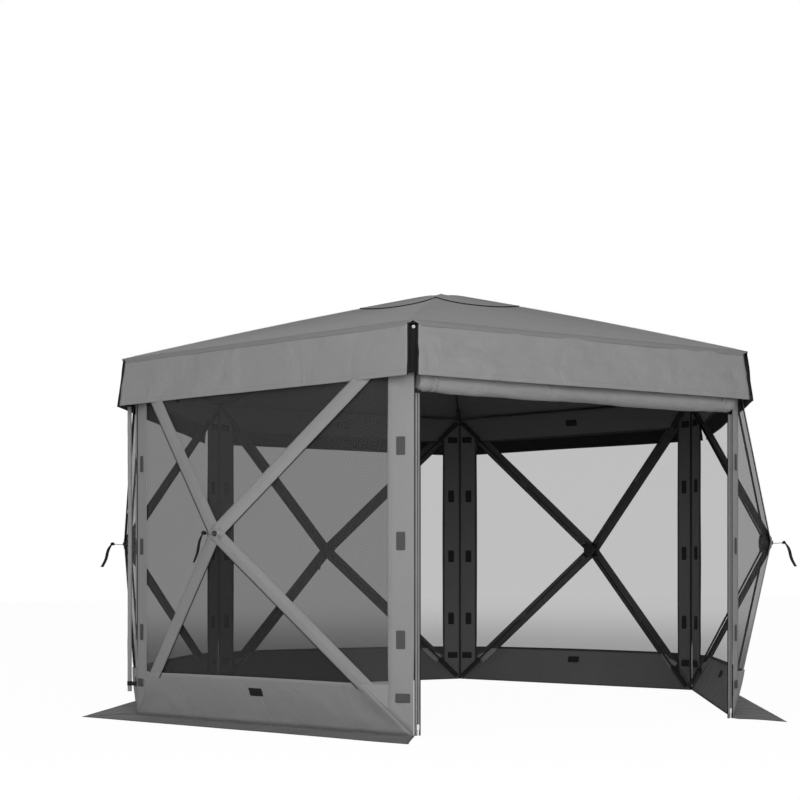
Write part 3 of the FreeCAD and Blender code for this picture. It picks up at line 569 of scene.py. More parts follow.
tape = black_tape("black_tape")
for wall, angle in HUB_WALLS.items():
    falling = [band_rows(angle, end, UNDER_LIFT) for end in ("upper_left", "lower_right")]
    rising = [band_rows(angle, end, OVER_LIFT) for end in ("upper_right", "lower_left")]
    bands = mesh_object(f"pole_bands_{wall}", falling + rising, [wall_cloth, band_inner_shade],
                        lambda _, a=angle: outward(a))
    thicken(bands, CLOTH, 1)
    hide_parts("wall_borders")

    collar_rows = []
    for radius in [0.010, 0.012, *steps(0.015, 0.030, 6), COLLAR_RADIUS]:
        ring = []
        for turn in steps(0, 2 * math.pi, 64):
            over, up = math.cos(turn) * radius, math.sin(turn) * radius
            run = WALL_HIGH - HUB_HEIGHT if up > 0 else HUB_HEIGHT - WALL_LOW
            across_fall = math.hypot(over / HALF_SIDE, 0.012)
            level_fall = math.hypot(up / run, 0.012)
            fall = (across_fall ** 6 + level_fall ** 6) ** (1 / 6)
            tuck = 0.002 if radius == COLLAR_RADIUS else 0
            ring.append(wall_point(angle, over, HUB_HEIGHT + up,
                                   BULGE * (1 - fall) + COLLAR_LIFT - tuck))
        collar_rows.append(ring)
    collar = mesh_object(f"point_collar_{wall}", [collar_rows], [wall_cloth, inner_side_shade],
                         lambda _, a=angle: outward(a))
    thicken(collar, CLOTH, 1)
    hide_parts("wall_borders")
    tie_to_hub(collar)
    tie_to_hub(bands)

    # Painted shade: a thin black cord along each band's lower edge stands in for the shade where the sleeve folds
    # round the pole.
    shade_lines = []
    for end in BAND_ENDS:
        sign = -1 if end.startswith("upper") else 1
        shares = steps(0.03, 0.93 if end.startswith("upper") else border_share("lower"), 24)
        line = [band_point(angle, end, share, sign * (BAND_HALF + 0.0015), 0.0035)
                for share in shares]
        shade_lines.append(tube_rows(line, SHADE_LINE_RADIUS, 6))
    piping = mesh_object(f"band_shade_line_{wall}", shade_lines, [tape])
    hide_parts("wall_borders")
    tie_to_hub(piping)

# ---------------------------------------------------------------- sewn lines
# Every hem and seam is lock-stitched in grey thread. A stitch is a short spindle of thread
# lying along its line, one after another, with a small gap between them.

thread_material = coated_cloth("grey_thread", (0.15, 0.15, 0.153), crease=0.0)


def stitch_tree():
    """A geometry tree that lays one spindle of thread after another along a line."""
    tree = bpy.data.node_groups.new("stitch_run", "GeometryNodeTree")
    tree.is_modifier = True
    face = tree.interface
    face.new_socket("Line", in_out="INPUT", socket_type="NodeSocketGeometry")
    for name, value in (("Spacing", 0.009), ("Stitch length", 0.006), ("Thread radius", 0.0005)):
        socket = face.new_socket(name, in_out="INPUT", socket_type="NodeSocketFloat")
        socket.default_value = value
    face.new_socket("Thread", in_out="INPUT", socket_type="NodeSocketMaterial")
    face.new_socket("Stitches", in_out="OUTPUT", socket_type="NodeSocketGeometry")
    given = add_node(tree, "NodeGroupInput").outputs
    curve = add_node(tree, "GeometryNodeMeshToCurve", links=[("Mesh", given["Line"])]).outputs[0]
    even = add_node(tree, "GeometryNodeResampleCurve", mode="LENGTH", links=[
        ("Curve", curve), ("Length", given["Spacing"])]).outputs[0]
    tangent = add_node(tree, "GeometryNodeInputTangent").outputs[0]
    turn = add_node(tree, "FunctionNodeAlignEulerToVector", axis="Z",
                    links=[("Vector", tangent)]).outputs[0]
    spindle = add_node(tree, "GeometryNodeMeshUVSphere", links=[
        ("Segments", 5), ("Rings", 4), ("Radius", 0.5)]).outputs[0]
    thick = add_node(tree, "ShaderNodeMath", operation="MULTIPLY",
                     links=[(0, given["Thread radius"]), (1, 2.0)]).outputs[0]
    shape = add_node(tree, "ShaderNodeCombineXYZ", links=[
        (0, thick), (1, thick), (2, given["Stitch length"])]).outputs[0]
    slim = add_node(tree, "GeometryNodeTransform", links=[
        ("Geometry", spindle), ("Scale", shape)]).outputs[0]
    laid = add_node(tree, "GeometryNodeInstanceOnPoints", links=[
        ("Points", even), ("Instance", slim), ("Rotation", turn)]).outputs[0]
    real = add_node(tree, "GeometryNodeRealizeInstances", links=[(0, laid)]).outputs[0]
    made = add_node(tree, "GeometryNodeSetMaterial", links=[
        ("Geometry", real), ("Material", given["Thread"])]).outputs[0]
    add_node(tree, "NodeGroupOutput", links=[("Stitches", made)])
    return tree


stitch_run = stitch_tree()
BORDER_SEAM_INSETS = (0.010, 0.016)
BAND_SEAM_INSET = 0.004
BAND_SEAM_LIFT = 0.0056


def run_tree(piece, tree, **values):
    """Adds a geometry tree to a piece, sets its named inputs and bakes the result."""
    modifier = piece.modifiers.new(tree.name, "NODES")
    modifier.node_group = tree
    for item in tree.interface.items_tree:
        if item.item_type == "SOCKET" and item.in_out == "INPUT" and item.name in values:
            modifier[item.identifier] = values[item.name]
    return bake_modifiers(piece)


def line_object(name, lines):
    """A piece of bare edges along several lines."""
    mesh = bpy.data.meshes.new(name)
    verts, edges = [], []
    for line in lines:
        first = len(verts)
        verts += [tuple(point) for point in line]
        edges += [(first + i, first + i + 1) for i in range(len(line) - 1)]
    mesh.from_pydata(verts, edges, [])
    made = bpy.data.objects.new(name, mesh)
    bpy.context.scene.collection.objects.link(made)
    return made


def sew(name, lines, spacing=0.009):
    """A piece of stitches along several lines."""
    made = line_object(name, lines)
    return run_tree(made, stitch_run, Spacing=spacing, Thread=thread_material)


for wall, angle in HUB_WALLS.items():
    seams = []
    for facet in EDGES:
        for inset in BORDER_SEAM_INSETS:
            share = border_share(facet) + inset
            seams.append(border_rows(angle, facet, share, share, 0.0006, 1)[0][1:-1])
    for end in BAND_ENDS:
        last = 0.97 if end.startswith("upper") else border_share("lower")
        for across in (BAND_SEAM_INSET - BAND_HALF, BAND_HALF - BAND_SEAM_INSET):
            seams.append([band_point(angle, end, share, across, BAND_SEAM_LIFT)
                          for share in steps(0.04, last, 30)])
    wall_seams = sew(f"wall_seams_{wall}", seams)
    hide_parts("wall_borders")
    tie_to_hub(wall_seams)

# ---------------------------------------------------------------- hook patches
# Patches of hook-and-loop tape are sewn on the borders, to take the wind panels: five up each
# side strip, grey outside, and a black one in the middle of the top and of the bottom. Every
# patch has a black one behind it, on the inner side.

SIDE_PATCH_HEIGHTS = (0.419, 0.846, 1.258)
END_PATCH_HEIGHTS = (0.167, 1.645)
END_PATCH_INSET = 0.050
LOWER_PATCH_INSET = 0.170
UPPER_PATCH_INSET = 0.082
SIDE_PATCH_SHARE = 0.56
PATCH_LONG = 0.080
END_PATCH_LONG = 0.066
PATCH_SHORT = 0.040


def hook_tape(name, colour):
    """Hook-and-loop tape: a dense pile of tiny hooks."""
    material, tree = bare_material(name)
    place = add_node(tree, "ShaderNodeTexCoord").outputs["Object"]
    pile = add_node(tree, "ShaderNodeTexVoronoi", links=[
        ("Vector", place), ("Scale", 420.0)]).outputs["Distance"]
    tint = add_node(tree, "ShaderNodeMix", data_type="RGBA", links=[
        ("Factor", pile), (6, (*colour, 1)), (7, (*(c * 1.5 for c in colour), 1))]).outputs[2]
    bump = add_node(tree, "ShaderNodeBump", links=[
        ("Height", pile), ("Strength", 0.6), ("Distance", 0.0008)]).outputs[0]
    surface = add_node(tree, "ShaderNodeBsdfPrincipled", links=[
        ("Base Color", tint), ("Roughness", 0.9), ("Normal", bump),
        ("Specular IOR Level", 0.2)])
    add_node(tree, "ShaderNodeOutputMaterial", links=[("Surface", surface.outputs[0])])
    return material


grey_hook = hook_tape("grey_hook_tape", (0.062, 0.062, 0.063))
black_hook = hook_tape("black_hook_tape", (0.009, 0.009, 0.0095))


def patch_rows(middle, long_way, short_way, normal, lift, long_side=PATCH_LONG):
    """A patch with rounded corners and a slightly raised middle."""
    rows = []
    for down in steps(-1, 1, 8):
        row = []
        for over in steps(-1, 1, 12):
            pinch = 1 - 0.02 * abs(down) ** 8
            rise = 0.0011 * (1 - max(abs(down), abs(over)) ** 6)
            shift = long_way * (over * long_side / 2 * pinch)
            shift += short_way * (down * PATCH_SHORT / 2 * (1 - 0.04 * abs(over) ** 8))
            row.append(middle + shift + normal * (lift + rise))
        rows.append(row)
    return rows


def facet_ways(angle, facet):
    """A facet's ways along its edge, up its slope and out of its face."""
    start, end, _ = EDGES[facet]
    edge_way = (wall_point(angle, *end, 0) - wall_point(angle, *start, 0)).normalized()
    normal = facet_normal(angle, facet)
    return edge_way, normal.cross(edge_way), normal


for wall, angle in HUB_WALLS.items():
    grey, black = [], []
    for facet, (start, end, depth) in EDGES.items():
        edge_way, slope_way, normal = facet_ways(angle, facet)
        span = abs(end[0] - start[0]) + abs(end[1] - start[1])
        if facet == "lower":
            spots = [(span / 2, LOWER_PATCH_INSET, False)]
        elif facet == "upper":
            spots = [(span / 2, UPPER_PATCH_INSET, False)]
        else:
            spots = [(height - WALL_LOW, depth * SIDE_PATCH_SHARE, False)
                     for height in SIDE_PATCH_HEIGHTS]
            spots += [(height - WALL_LOW, END_PATCH_INSET, True) for height in END_PATCH_HEIGHTS]
        if facet == "left":
            spots = [(span - at, inset, turned) for at, inset, turned in spots]
        for at, inset, turned in spots:
            middle = wall_point(angle, *start, 0) + edge_way * at + slope_way * inset
            middle = middle + outward(angle) * corner_pucker(middle, angle)
            ways = (slope_way, edge_way) if turned else (edge_way, slope_way)
            long_side = END_PATCH_LONG if turned else PATCH_LONG
            lift = border_lift(middle) + 0.0024
            kept = black if facet in ("lower", "upper") else grey
            kept.append(patch_rows(middle, *ways, normal, lift, long_side))
            black.append(patch_rows(middle, *ways, -normal, 0.0015, long_side))
    for kind, patches, material in (("grey", grey, grey_hook), ("black", black, black_hook)):
        sewn = mesh_object(f"{kind}_patches_{wall}", patches, [material])
        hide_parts("hook_patches")
        tie_to_hub(sewn)

# ---------------------------------------------------------------- roof canopy
# Six cloth gores sewn along the ridges make one stretched skin over the roof poles. It sags a
# little between them, is blunt where the hub presses, and turns down over the eave in a fold.

canopy_low, canopy_high = (Vector(corner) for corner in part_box("roof_canopy"))
ROOF_RADIUS = canopy_high.x
EAVE = canopy_low.z
PEAK = canopy_high.z - 0.001
CROWN_SHARE = 0.497 / 1.785
PEAK_HOLE = 0.008
RIDGE_LIFT = 0.010
GORE_SAG = 0.016
# Painted shade: the roof is a darker copy of the valance's cloth, for the lesser light on top, and its inner side
# is darker still, for the shade under the roof.
roof_shaded_cloth = coated_cloth("roof_shaded_cloth", (0.194, 0.194, 0.197), crease=0.35)
roof_inner_shade = coated_cloth("roof_inner_shade", (0.088, 0.088, 0.091), roughness=0.85)
valance_cloth = coated_cloth("valance_cloth", (0.252, 0.252, 0.255), crease=1.0)
# Painted shade: the flaps' inner side is near black for the shade under the eave.
valance_inner_shade = coated_cloth("valance_inner_shade", (0.010, 0.010, 0.0105), roughness=0.9)


def roof_point(bearing, share, lift=0.0):
    """A point of the roof by compass bearing and by its share of the way down to the eave."""
    within = ((bearing % 60) - 30) / 30
    apothem = ROOF_RADIUS * math.cos(math.radians(30))
    radius = share * apothem / math.cos(math.radians(within * 30))
    belly = math.sin(math.pi * min(share, 1))
    drop = (PEAK - EAVE) * (1 - share)
    blunt = 0.012 * math.exp(-(share / 0.035) ** 2)
    height = EAVE + drop + belly * (RIDGE_LIFT * within ** 6 - GORE_SAG * (1 - within ** 2))
    slope = Vector((0.3 * math.cos(math.radians(bearing)),
                    0.3 * math.sin(math.radians(bearing)), 1)).normalized()
    place = CENTRE + outward(bearing) * radius + Vector((0, 0, height - blunt))
    return place + slope * lift


def tie_to_roof(piece):
    """Puts a piece of the roof on the tent cover's body, with a mesh of its own."""
    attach(piece, "tent_cover")
    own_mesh(piece)


def skyward(_):
    return Vector((0, 0, 1))


def close_peak(piece):
    """Closes the small hole that a roof piece's rings leave at the peak."""
    work = bmesh.new()
    work.from_mesh(piece.data)
    ring = [v for v in work.verts if (v.co - CENTRE).xy.length < PEAK_HOLE]
    bmesh.ops.contextual_create(work, geom=ring)
    work.to_mesh(piece.data)
    work.free()


def eave_point(bearing, fold):
    """The skin's turn over the eave: fold runs from the slope to the end of its short drop."""
    within = ((bearing % 60) - 30) / 30
    apothem = ROOF_RADIUS * math.cos(math.radians(30))
    from_corner = (1 - abs(math.tan(math.radians(within * 30))) * math.sqrt(3)) * ROOF_RADIUS / 2
    free = min(from_corner / 0.045, 1) ** 2
    radius = 0.004 + 0.012 * free
    pitch = math.atan2(PEAK - EAVE, apothem)
    turn = pitch + (math.pi / 2 - pitch) * min(fold / 0.7, 1)
    hang = max(fold - 0.7, 0) / 0.3 * 0.012 * free
    seat = EAVE + (PEAK - EAVE) * radius / apothem - radius / math.cos(pitch)
    reach = apothem - radius + radius * math.sin(turn) + 0.0022 * free
    wave = 0.0025 * noise.noise(Vector((bearing * 0.35, 0, 2))) * free
    place = CENTRE + outward(bearing) * (reach + wave) / math.cos(math.radians(within * 30))
    place.z = seat + radius * math.cos(turn) - hang
    return place


canopy_rows = []
around = steps(0, 360, 288)
for share in [0.004, *steps(0.02, 0.975, 44)]:
    canopy_rows.append([roof_point(bearing, share) for bearing in around])
for fold in steps(0.0, 1.0, 10):
    canopy_rows.append([eave_point(bearing, fold) for bearing in around])
canopy = mesh_object("roof_skin", [canopy_rows], [roof_shaded_cloth, roof_inner_shade])
close_peak(canopy)
face_outwards(canopy)
if sum(face.normal.z for face in canopy.data.polygons) < 0:
    canopy.data.flip_normals()
thicken(canopy, CLOTH, 1)
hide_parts("roof_canopy")
tie_to_roof(canopy)

ridge_seams = []
for bearing in CORNERS.values():
    for aside in (-0.010, 0.010):
        line = []
        for share in steps(CROWN_SHARE + 0.01, 0.965, 60):
            point = roof_point(bearing, share, 0.0012)
            line.append(point + along(bearing) * aside)
        ridge_seams.append(line)
roof_seams = sew("roof_seams", ridge_seams, 0.010)
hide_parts("roof_canopy")
tie_to_roof(roof_seams)

# ---------------------------------------------------------------- crown patch
# A six-sided patch of the roof cloth doubles the skin over the hub. Its edge is bound in black
# tape, a black tube that also paints the shadow under the patch's edge as a dark line round the peak.

crown_rows = []
for share in [0.004, *steps(0.02, CROWN_SHARE, 14)]:
    crown_rows.append([roof_point(bearing, share, 0.0032) for bearing in steps(0, 360, 144)])
crown = mesh_object("crown_cap", [crown_rows], [roof_shaded_cloth, roof_inner_shade], skyward)
close_peak(crown)
thicken(crown, CLOTH, 1)
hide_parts("crown_patch")
tie_to_roof(crown)

# Part binding, part painted shadow: the black tube stands in for the dark shade line under the patch's edge.
binding_shadow_path = [roof_point(bearing, CROWN_SHARE, 0.0026) for bearing in steps(0, 360, 144)]
binding = mesh_object("crown_binding_and_shadow", [tube_rows(binding_shadow_path, 0.0028, 6)], [tape])
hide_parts("crown_patch")
tie_to_roof(binding)
crown_seam = sew("crown_seam", [
    [roof_point(bearing, CROWN_SHARE - 0.007, 0.0048) for bearing in steps(0, 360, 144)]])
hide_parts("crown_patch")
tie_to_roof(crown_seam)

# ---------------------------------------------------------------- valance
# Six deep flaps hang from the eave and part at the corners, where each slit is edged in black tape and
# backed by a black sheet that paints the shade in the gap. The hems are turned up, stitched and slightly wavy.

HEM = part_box("valance")[0][2]
FLARE = 0.0303
SLIT_HALF = 0.024
FLAP_TOP = 0.055
HEM_SEAM = 0.905


def flap_point(angle, across, fall, lift=0.0):
    """A point of a flap; fall is 0 at the eave and 1 at the hem."""
    apothem = ROOF_RADIUS * math.cos(math.radians(30))
    place = Vector((across * 1.7, fall * 0.5, angle))
    door = angle == DOOR_ANGLE
    swell = 0.017 if door else 0.010
    tilt = Vector((across * 4.2 + fall * 1.1, fall * 1.9 - across * 1.5, angle + 5))
    wave = noise.noise(place * 1.3) * swell * fall
    wave += noise.noise(tilt) * swell * 0.75 * math.sin(math.pi * min(fall, 0.9))
    if door:
        wave += noise.noise(tilt * 2.3) * swell * 0.5 * math.sin(math.pi * min(fall, 0.9))
    sag = 0.004 * noise.noise(Vector((across * 1.1, angle, 4.0))) * fall
    out = apothem + FLARE * fall + wave + lift - 0.0015
    across = across * (1 + FLARE * fall / apothem)
    drop = (EAVE - HEM) * fall
    point = CENTRE + outward(angle) * out + along(angle) * across
    point.z = EAVE - drop + sag
    return point


FLAP_HALF = ROOF_RADIUS / 2 - SLIT_HALF
for wall, angle in {**HUB_WALLS, "door": DOOR_ANGLE}.items():
    rows = [[flap_point(angle, across, fall) for across in steps(-FLAP_HALF, FLAP_HALF, 110)]
            for fall in steps(FLAP_TOP, 1.0, 26)]
    flap = mesh_object(f"valance_flap_{wall}", [rows], [valance_cloth, valance_inner_shade],
                       lambda _, a=angle: outward(a))
    thicken(flap, CLOTH, 1)
    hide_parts("valance")
    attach(flap, "tent_cover")

    hem_rows = [[flap_point(angle, across, fall, -0.0016)
                 for across in steps(-FLAP_HALF, FLAP_HALF, 110)]
                for fall in (0.895, 0.93, 0.965, 0.998)]
    hem = mesh_object(f"valance_hem_{wall}", [hem_rows], [valance_cloth, valance_inner_shade],
                      lambda _, a=angle: outward(a))
    thicken(hem, CLOTH, 1)
    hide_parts("valance")
    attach(hem, "tent_cover")

    flap_seams = sew(f"valance_seams_{wall}", [
        [flap_point(angle, across, HEM_SEAM, 0.0002)
         for across in steps(-FLAP_HALF, FLAP_HALF, 110)]])
    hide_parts("valance")
    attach(flap_seams, "tent_cover")

    edges = []
    for side in (-1, 1):
        edges.append([[flap_point(angle, side * (FLAP_HALF - 0.004 + over), fall, depth)
                       for over, depth in ((0, 0.0012), (0.004, 0.0014), (0.0065, 0.0008),
                                           (0.0065, -0.0016), (0.004, -0.0022), (0, -0.002),
                                           (0, 0.0012))]
                      for fall in steps(0.02, 1.004, 24)])
    bound = mesh_object(f"slit_binding_{wall}", edges, [tape])
    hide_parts("valance")
    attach(bound, "tent_cover")

# Painted shade: a black sheet behind each slit stands in for the shade in the gap between the flaps.
SHADE_BACKING_RADIUS = ROOF_RADIUS - 0.035
shade_backing_rows = []
for bearing in CORNERS.values():
    rows = []
    for fall in steps(0.04, 0.93, 12):
        rows.append([
            CENTRE + outward(bearing) * (SHADE_BACKING_RADIUS - 0.12 * abs(across)
                                         + 0.004 * math.sin(9 * fall + bearing))
            + along(bearing) * across + Vector((0, 0, EAVE - (EAVE - HEM) * fall))
            for across in steps(-0.035, 0.035, 10)])
    shade_backing_rows.append(rows)
slit_shade_backing = mesh_object("slit_shade_backing", shade_backing_rows, [tape],
                           lambda p: (p - CENTRE) * Vector((1, 1, 0)))
thicken(slit_shade_backing, CLOTH)
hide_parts("valance")
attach(slit_shade_backing, "tent_cover")

# ---------------------------------------------------------------- ground skirt
# A flap of the wall cloth lies flat on the ground outside each hub wall, mitred at the corners,
# with a turned and stitched hem. It lifts a few millimetres in slow waves.

SKIRT_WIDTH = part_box("ground_skirt")[1][1] - CENTRE.y - APOTHEM
skirt_cloth = coated_cloth("skirt_cloth", (0.050, 0.050, 0.051), crease=0.8)


def skirt_point(angle, across_share, reach, lift=0.0):
    """A point of the skirt: across runs -1 to 1 between the mitres, reach 0 to 1 outwards."""
    out = SKIRT_WIDTH * reach
    half = (APOTHEM + out) / math.sqrt(3)
    point = wall_point(angle, across_share * half, 0, out)
    wave = 0.5 + 0.5 * noise.noise(point * 2.6)
    rise = 0.0055 * wave * math.sin(math.pi * min(reach, 1)) + 0.0035 * wave * reach
    curl = 0.006 * math.exp(-(reach / 0.06) ** 2)
    return point + Vector((0, 0, 0.0014 + rise + curl + lift))


for wall, angle in HUB_WALLS.items():
    rows = [[skirt_point(angle, across, reach) for across in steps(-1, 1, 90)]
            for reach in steps(0.0, 1.0, 14)]
    flap = mesh_object(f"skirt_flap_{wall}", [rows], [skirt_cloth, inner_side_shade], skyward)
    thicken(flap, CLOTH, 1)
    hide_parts("ground_skirt")
    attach(flap, "tent_cover")
    seam_lines = [[skirt_point(angle, across, reach, 0.0006) for across in steps(-0.995, 0.995, 90)]
                  for reach in (0.03, 0.90, 0.985)]
    skirt_seams = sew(f"skirt_seams_{wall}", seam_lines)
    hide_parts("ground_skirt")
    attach(skirt_seams, "tent_cover")

# ---------------------------------------------------------------- rolled panels
# The door panel is rolled up and tied under the valance, a long soft sausage of many turns. A
# wind panel, rolled much tighter, hangs outside the left corner.

ROLL_RADIUS = 0.050
ROLL_HEIGHT = 1.547
ROLL_END = 0.012
roll_cloth = coated_cloth("roll_cloth", (0.264, 0.264, 0.267), crease=1.0)


def roll_point(share, turn):
    """A point of the door roll by its share of the length and its turn round the axis."""
    across = -HALF_SIDE + ROLL_END + share * (WALL_SIDE - 2 * ROLL_END)
    slack = 0.0035 * noise.noise(Vector((share * 7, math.cos(turn) * 0.9, math.sin(turn) * 0.9)))
    slack += 0.0022 * noise.noise(Vector((share * 26, math.cos(turn) * 1.6, math.sin(turn))))
    end_tuck = 0.012 * (math.exp(-(share / 0.008) ** 2) + math.exp(-((1 - share) / 0.008) ** 2))
    tie_pinch = 0.0045 * sum(math.exp(-((share - at) / 0.012) ** 2) for at in TIE_SHARES)
    lap = 0.0035 * (turn % (2 * math.pi)) / (2 * math.pi)
    radius = ROLL_RADIUS + slack - end_tuck - tie_pinch + lap - 0.002
    sag = -0.006 * math.sin(math.pi * share) - 0.003 * math.sin(3 * math.pi * share)
    out = math.cos(turn) * radius
    up = math.sin(turn) * radius * 1.03
    return wall_point(DOOR_ANGLE, across, ROLL_HEIGHT + sag + up, out)


TIE_SHARES = (0.042, 0.958)
roll_rows = [[roll_point(share, turn - 0.6) for turn in steps(0, 2 * math.pi, 40)]
             for share in [0, 0.002, 0.005, 0.009, *steps(0.014, 0.986, 110), 0.991, 0.995,
                           0.998, 1]]
ends = []
for share in (0.0, 1.0):
    middle = sum((roll_point(share, turn) for turn in steps(0, 2 * math.pi, 40)[:-1]),
                 Vector()) / 40
    inward = along(DOOR_ANGLE) * (0.010 if share == 0 else -0.010)
    spiral = []
    for ring in steps(1.0, 0.06, 12):
        spiral.append([
            middle + (roll_point(share, turn - 0.6) - middle) * ring
            + inward * (1 - ring) * 0.6
            + inward * 0.35 * (0.5 + 0.5 * math.sin(ring * 38 + turn))
            for turn in steps(0, 2 * math.pi, 40)])
    ends.append(spiral)
door_roll = mesh_object("door_roll", [roll_rows, *ends], [roll_cloth])
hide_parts("rolled_panels")
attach(door_roll, "tent_cover")

SIDE_ROLL_RADIUS = 0.0105
SIDE_ROLL_LOW = 0.117
SIDE_ROLL_HIGH = 1.556
SIDE_ROLL_INSET = 0.030
SIDE_ROLL_OUT = 0.050
side_line = [wall_point(HUB_WALLS["left_rear"], HALF_SIDE - SIDE_ROLL_INSET, height,
                        SIDE_ROLL_OUT + 0.0012 * math.sin(height * 5))
             for height in steps(SIDE_ROLL_LOW, SIDE_ROLL_HIGH, 60)]
side_rows = []
for i, row in enumerate(tube_rows(side_line, SIDE_ROLL_RADIUS, 20)):
    middle = side_line[i]
    side_rows.append([
        middle + (point - middle) * (1 + 0.10 * noise.noise(point * 22)) for point in row])
side_ends = [[[side_line[at] + (point - side_line[at]) * ring for point in side_rows[at]]
              for ring in (1.0, 0.6, 0.2)] for at in (0, -1)]
side_roll = mesh_object("side_roll", [side_rows, *side_ends], [roll_cloth])
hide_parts("rolled_panels")
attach(side_roll, "tent_cover")

# ---------------------------------------------------------------- webbing ties
# Strips of the wall's grey cloth tie the door roll near its ends and the wind panel's roll at
# its middle. A black one holds the foot of the wind panel's roll back to the corner.


def loop_rows(middle, axis, radius, width, squash=1.0):
    """A band of webbing round an axis."""
    side = axis.cross(Vector((0.1, 0.2, 1))).normalized()
    if abs(axis.z) > 0.9:
        side = Vector((1, 0, 0))
    up = axis.cross(side)
    return [[middle + axis * at + (side * math.cos(turn) + up * math.sin(turn) * squash) * radius
             for turn in steps(0, 2 * math.pi, 32)] for at in steps(-width / 2, width / 2, 4)]


tie_rows = []
for share in TIE_SHARES:
    middle = sum((roll_point(share, turn) for turn in steps(0, 2 * math.pi, 40)[:-1]),
                 Vector()) / 40
    tie_rows.append(loop_rows(middle, along(DOOR_ANGLE), ROLL_RADIUS + 0.0002, 0.020))
door_ties = mesh_object("door_ties", tie_rows, [roll_cloth])
thicken(door_ties, -0.0014)
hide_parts("webbing_tabs_and_ties")
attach(door_ties, "tent_cover")

SIDE_TIE_RADIUS = SIDE_ROLL_RADIUS + 0.0022
SIDE_TIE_WIDTH = 0.022
side_foot = side_line[0]
corner_foot = CENTRE + outward(CORNERS["left"]) * (WALL_SIDE + 0.004)
grey_tie = mesh_object("middle_tie", [loop_rows(
    side_foot + Vector((0, 0, 0.91)), Vector((0, 0, 1)), SIDE_TIE_RADIUS, SIDE_TIE_WIDTH)],
    [roll_cloth])
thicken(grey_tie, -0.0012)
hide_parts("webbing_tabs_and_ties")
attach(grey_tie, "tent_cover")

middle = side_foot + Vector((0, 0, 0.040))
reach = Vector((corner_foot.x, corner_foot.y, middle.z)) - middle
aside = reach.cross(Vector((0, 0, 1))).normalized() * 0.003
black_ties = [
    loop_rows(middle, Vector((0, 0, 1)), SIDE_TIE_RADIUS, SIDE_TIE_WIDTH),
    [[middle + reach * share + aside * fold + Vector((0, 0, level))
      for level, fold in ((-0.010, 1), (0.0, 1.4), (0.010, 1))]
     for share in steps(0.2, 1.0, 8)]]
side_ties = mesh_object("side_ties", black_ties, [tape])
thicken(side_ties, -0.0012)
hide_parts("webbing_tabs_and_ties")
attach(side_ties, "tent_cover")

# ---------------------------------------------------------------- corner zips and piping
# Each side of the door has a zip up the corner: a pale tape between two black piped edges, whose tubes also paint
# the shade along the tape's edges, and a row of moulded teeth. The other corners carry the same black piping where
# the walls are sewn.


def teeth_tree():
    """A geometry tree that sets one moulded tooth after another along a line."""
    tree = bpy.data.node_groups.new("zip_teeth", "GeometryNodeTree")
    tree.is_modifier = True
    face = tree.interface
    face.new_socket("Line", in_out="INPUT", socket_type="NodeSocketGeometry")
    for name, value in (("Pitch", 0.0035), ("Tooth width", 0.005), ("Tooth height", 0.0019)):
        socket = face.new_socket(name, in_out="INPUT", socket_type="NodeSocketFloat")
        socket.default_value = value
    face.new_socket("Moulding", in_out="INPUT", socket_type="NodeSocketMaterial")
    face.new_socket("Teeth", in_out="OUTPUT", socket_type="NodeSocketGeometry")
    given = add_node(tree, "NodeGroupInput").outputs
    curve = add_node(tree, "GeometryNodeMeshToCurve", links=[("Mesh", given["Line"])]).outputs[0]
    even = add_node(tree, "GeometryNodeResampleCurve", mode="LENGTH", links=[
        ("Curve", curve), ("Length", given["Pitch"])]).outputs[0]
    shape = add_node(tree, "ShaderNodeCombineXYZ", links=[
        (0, given["Tooth width"]), (1, 0.0022), (2, given["Tooth height"])]).outputs[0]
    tooth = add_node(tree, "GeometryNodeMeshCube", links=[("Size", shape)]).outputs[0]
    laid = add_node(tree, "GeometryNodeInstanceOnPoints", links=[
        ("Points", even), ("Instance", tooth)]).outputs[0]
    real = add_node(tree, "GeometryNodeRealizeInstances", links=[(0, laid)]).outputs[0]
    made = add_node(tree, "GeometryNodeSetMaterial", links=[
        ("Geometry", real), ("Material", given["Moulding"])]).outputs[0]
    add_node(tree, "NodeGroupOutput", links=[("Teeth", made)])
    return tree


def moulded(name, colour, roughness=0.45, grain=260.0, bump_depth=0.0004):
    """Moulded nylon or lacquer: fine grain, faint tone changes, soft highlights."""
    material, tree = bare_material(name)
    place = add_node(tree, "ShaderNodeTexCoord").outputs["Object"]
    fine = add_node(tree, "ShaderNodeTexNoise", links=[
        ("Vector", place), ("Scale", grain), ("Detail", 2.0)]).outputs["Fac"]
    broad = add_node(tree, "ShaderNodeTexNoise", links=[
        ("Vector", place), ("Scale", 9.0), ("Detail", 3.0)]).outputs["Fac"]
    tint = add_node(tree, "ShaderNodeMix", data_type="RGBA", links=[
        ("Factor", broad), (6, (*(c * 0.8 for c in colour), 1)),
        (7, (*(c * 1.3 for c in colour), 1))]).outputs[2]
    rough = add_node(tree, "ShaderNodeMapRange", links=[
        ("Value", broad), ("To Min", roughness - 0.08), ("To Max", roughness + 0.1)]).outputs[0]
    bump = add_node(tree, "ShaderNodeBump", links=[
        ("Height", fine), ("Strength", 0.3), ("Distance", bump_depth)]).outputs[0]
    surface = add_node(tree, "ShaderNodeBsdfPrincipled", links=[
        ("Base Color", tint), ("Roughness", rough), ("Normal", bump),
        ("Specular IOR Level", 0.25)])
    add_node(tree, "ShaderNodeOutputMaterial", links=[("Surface", surface.outputs[0])])
    return material


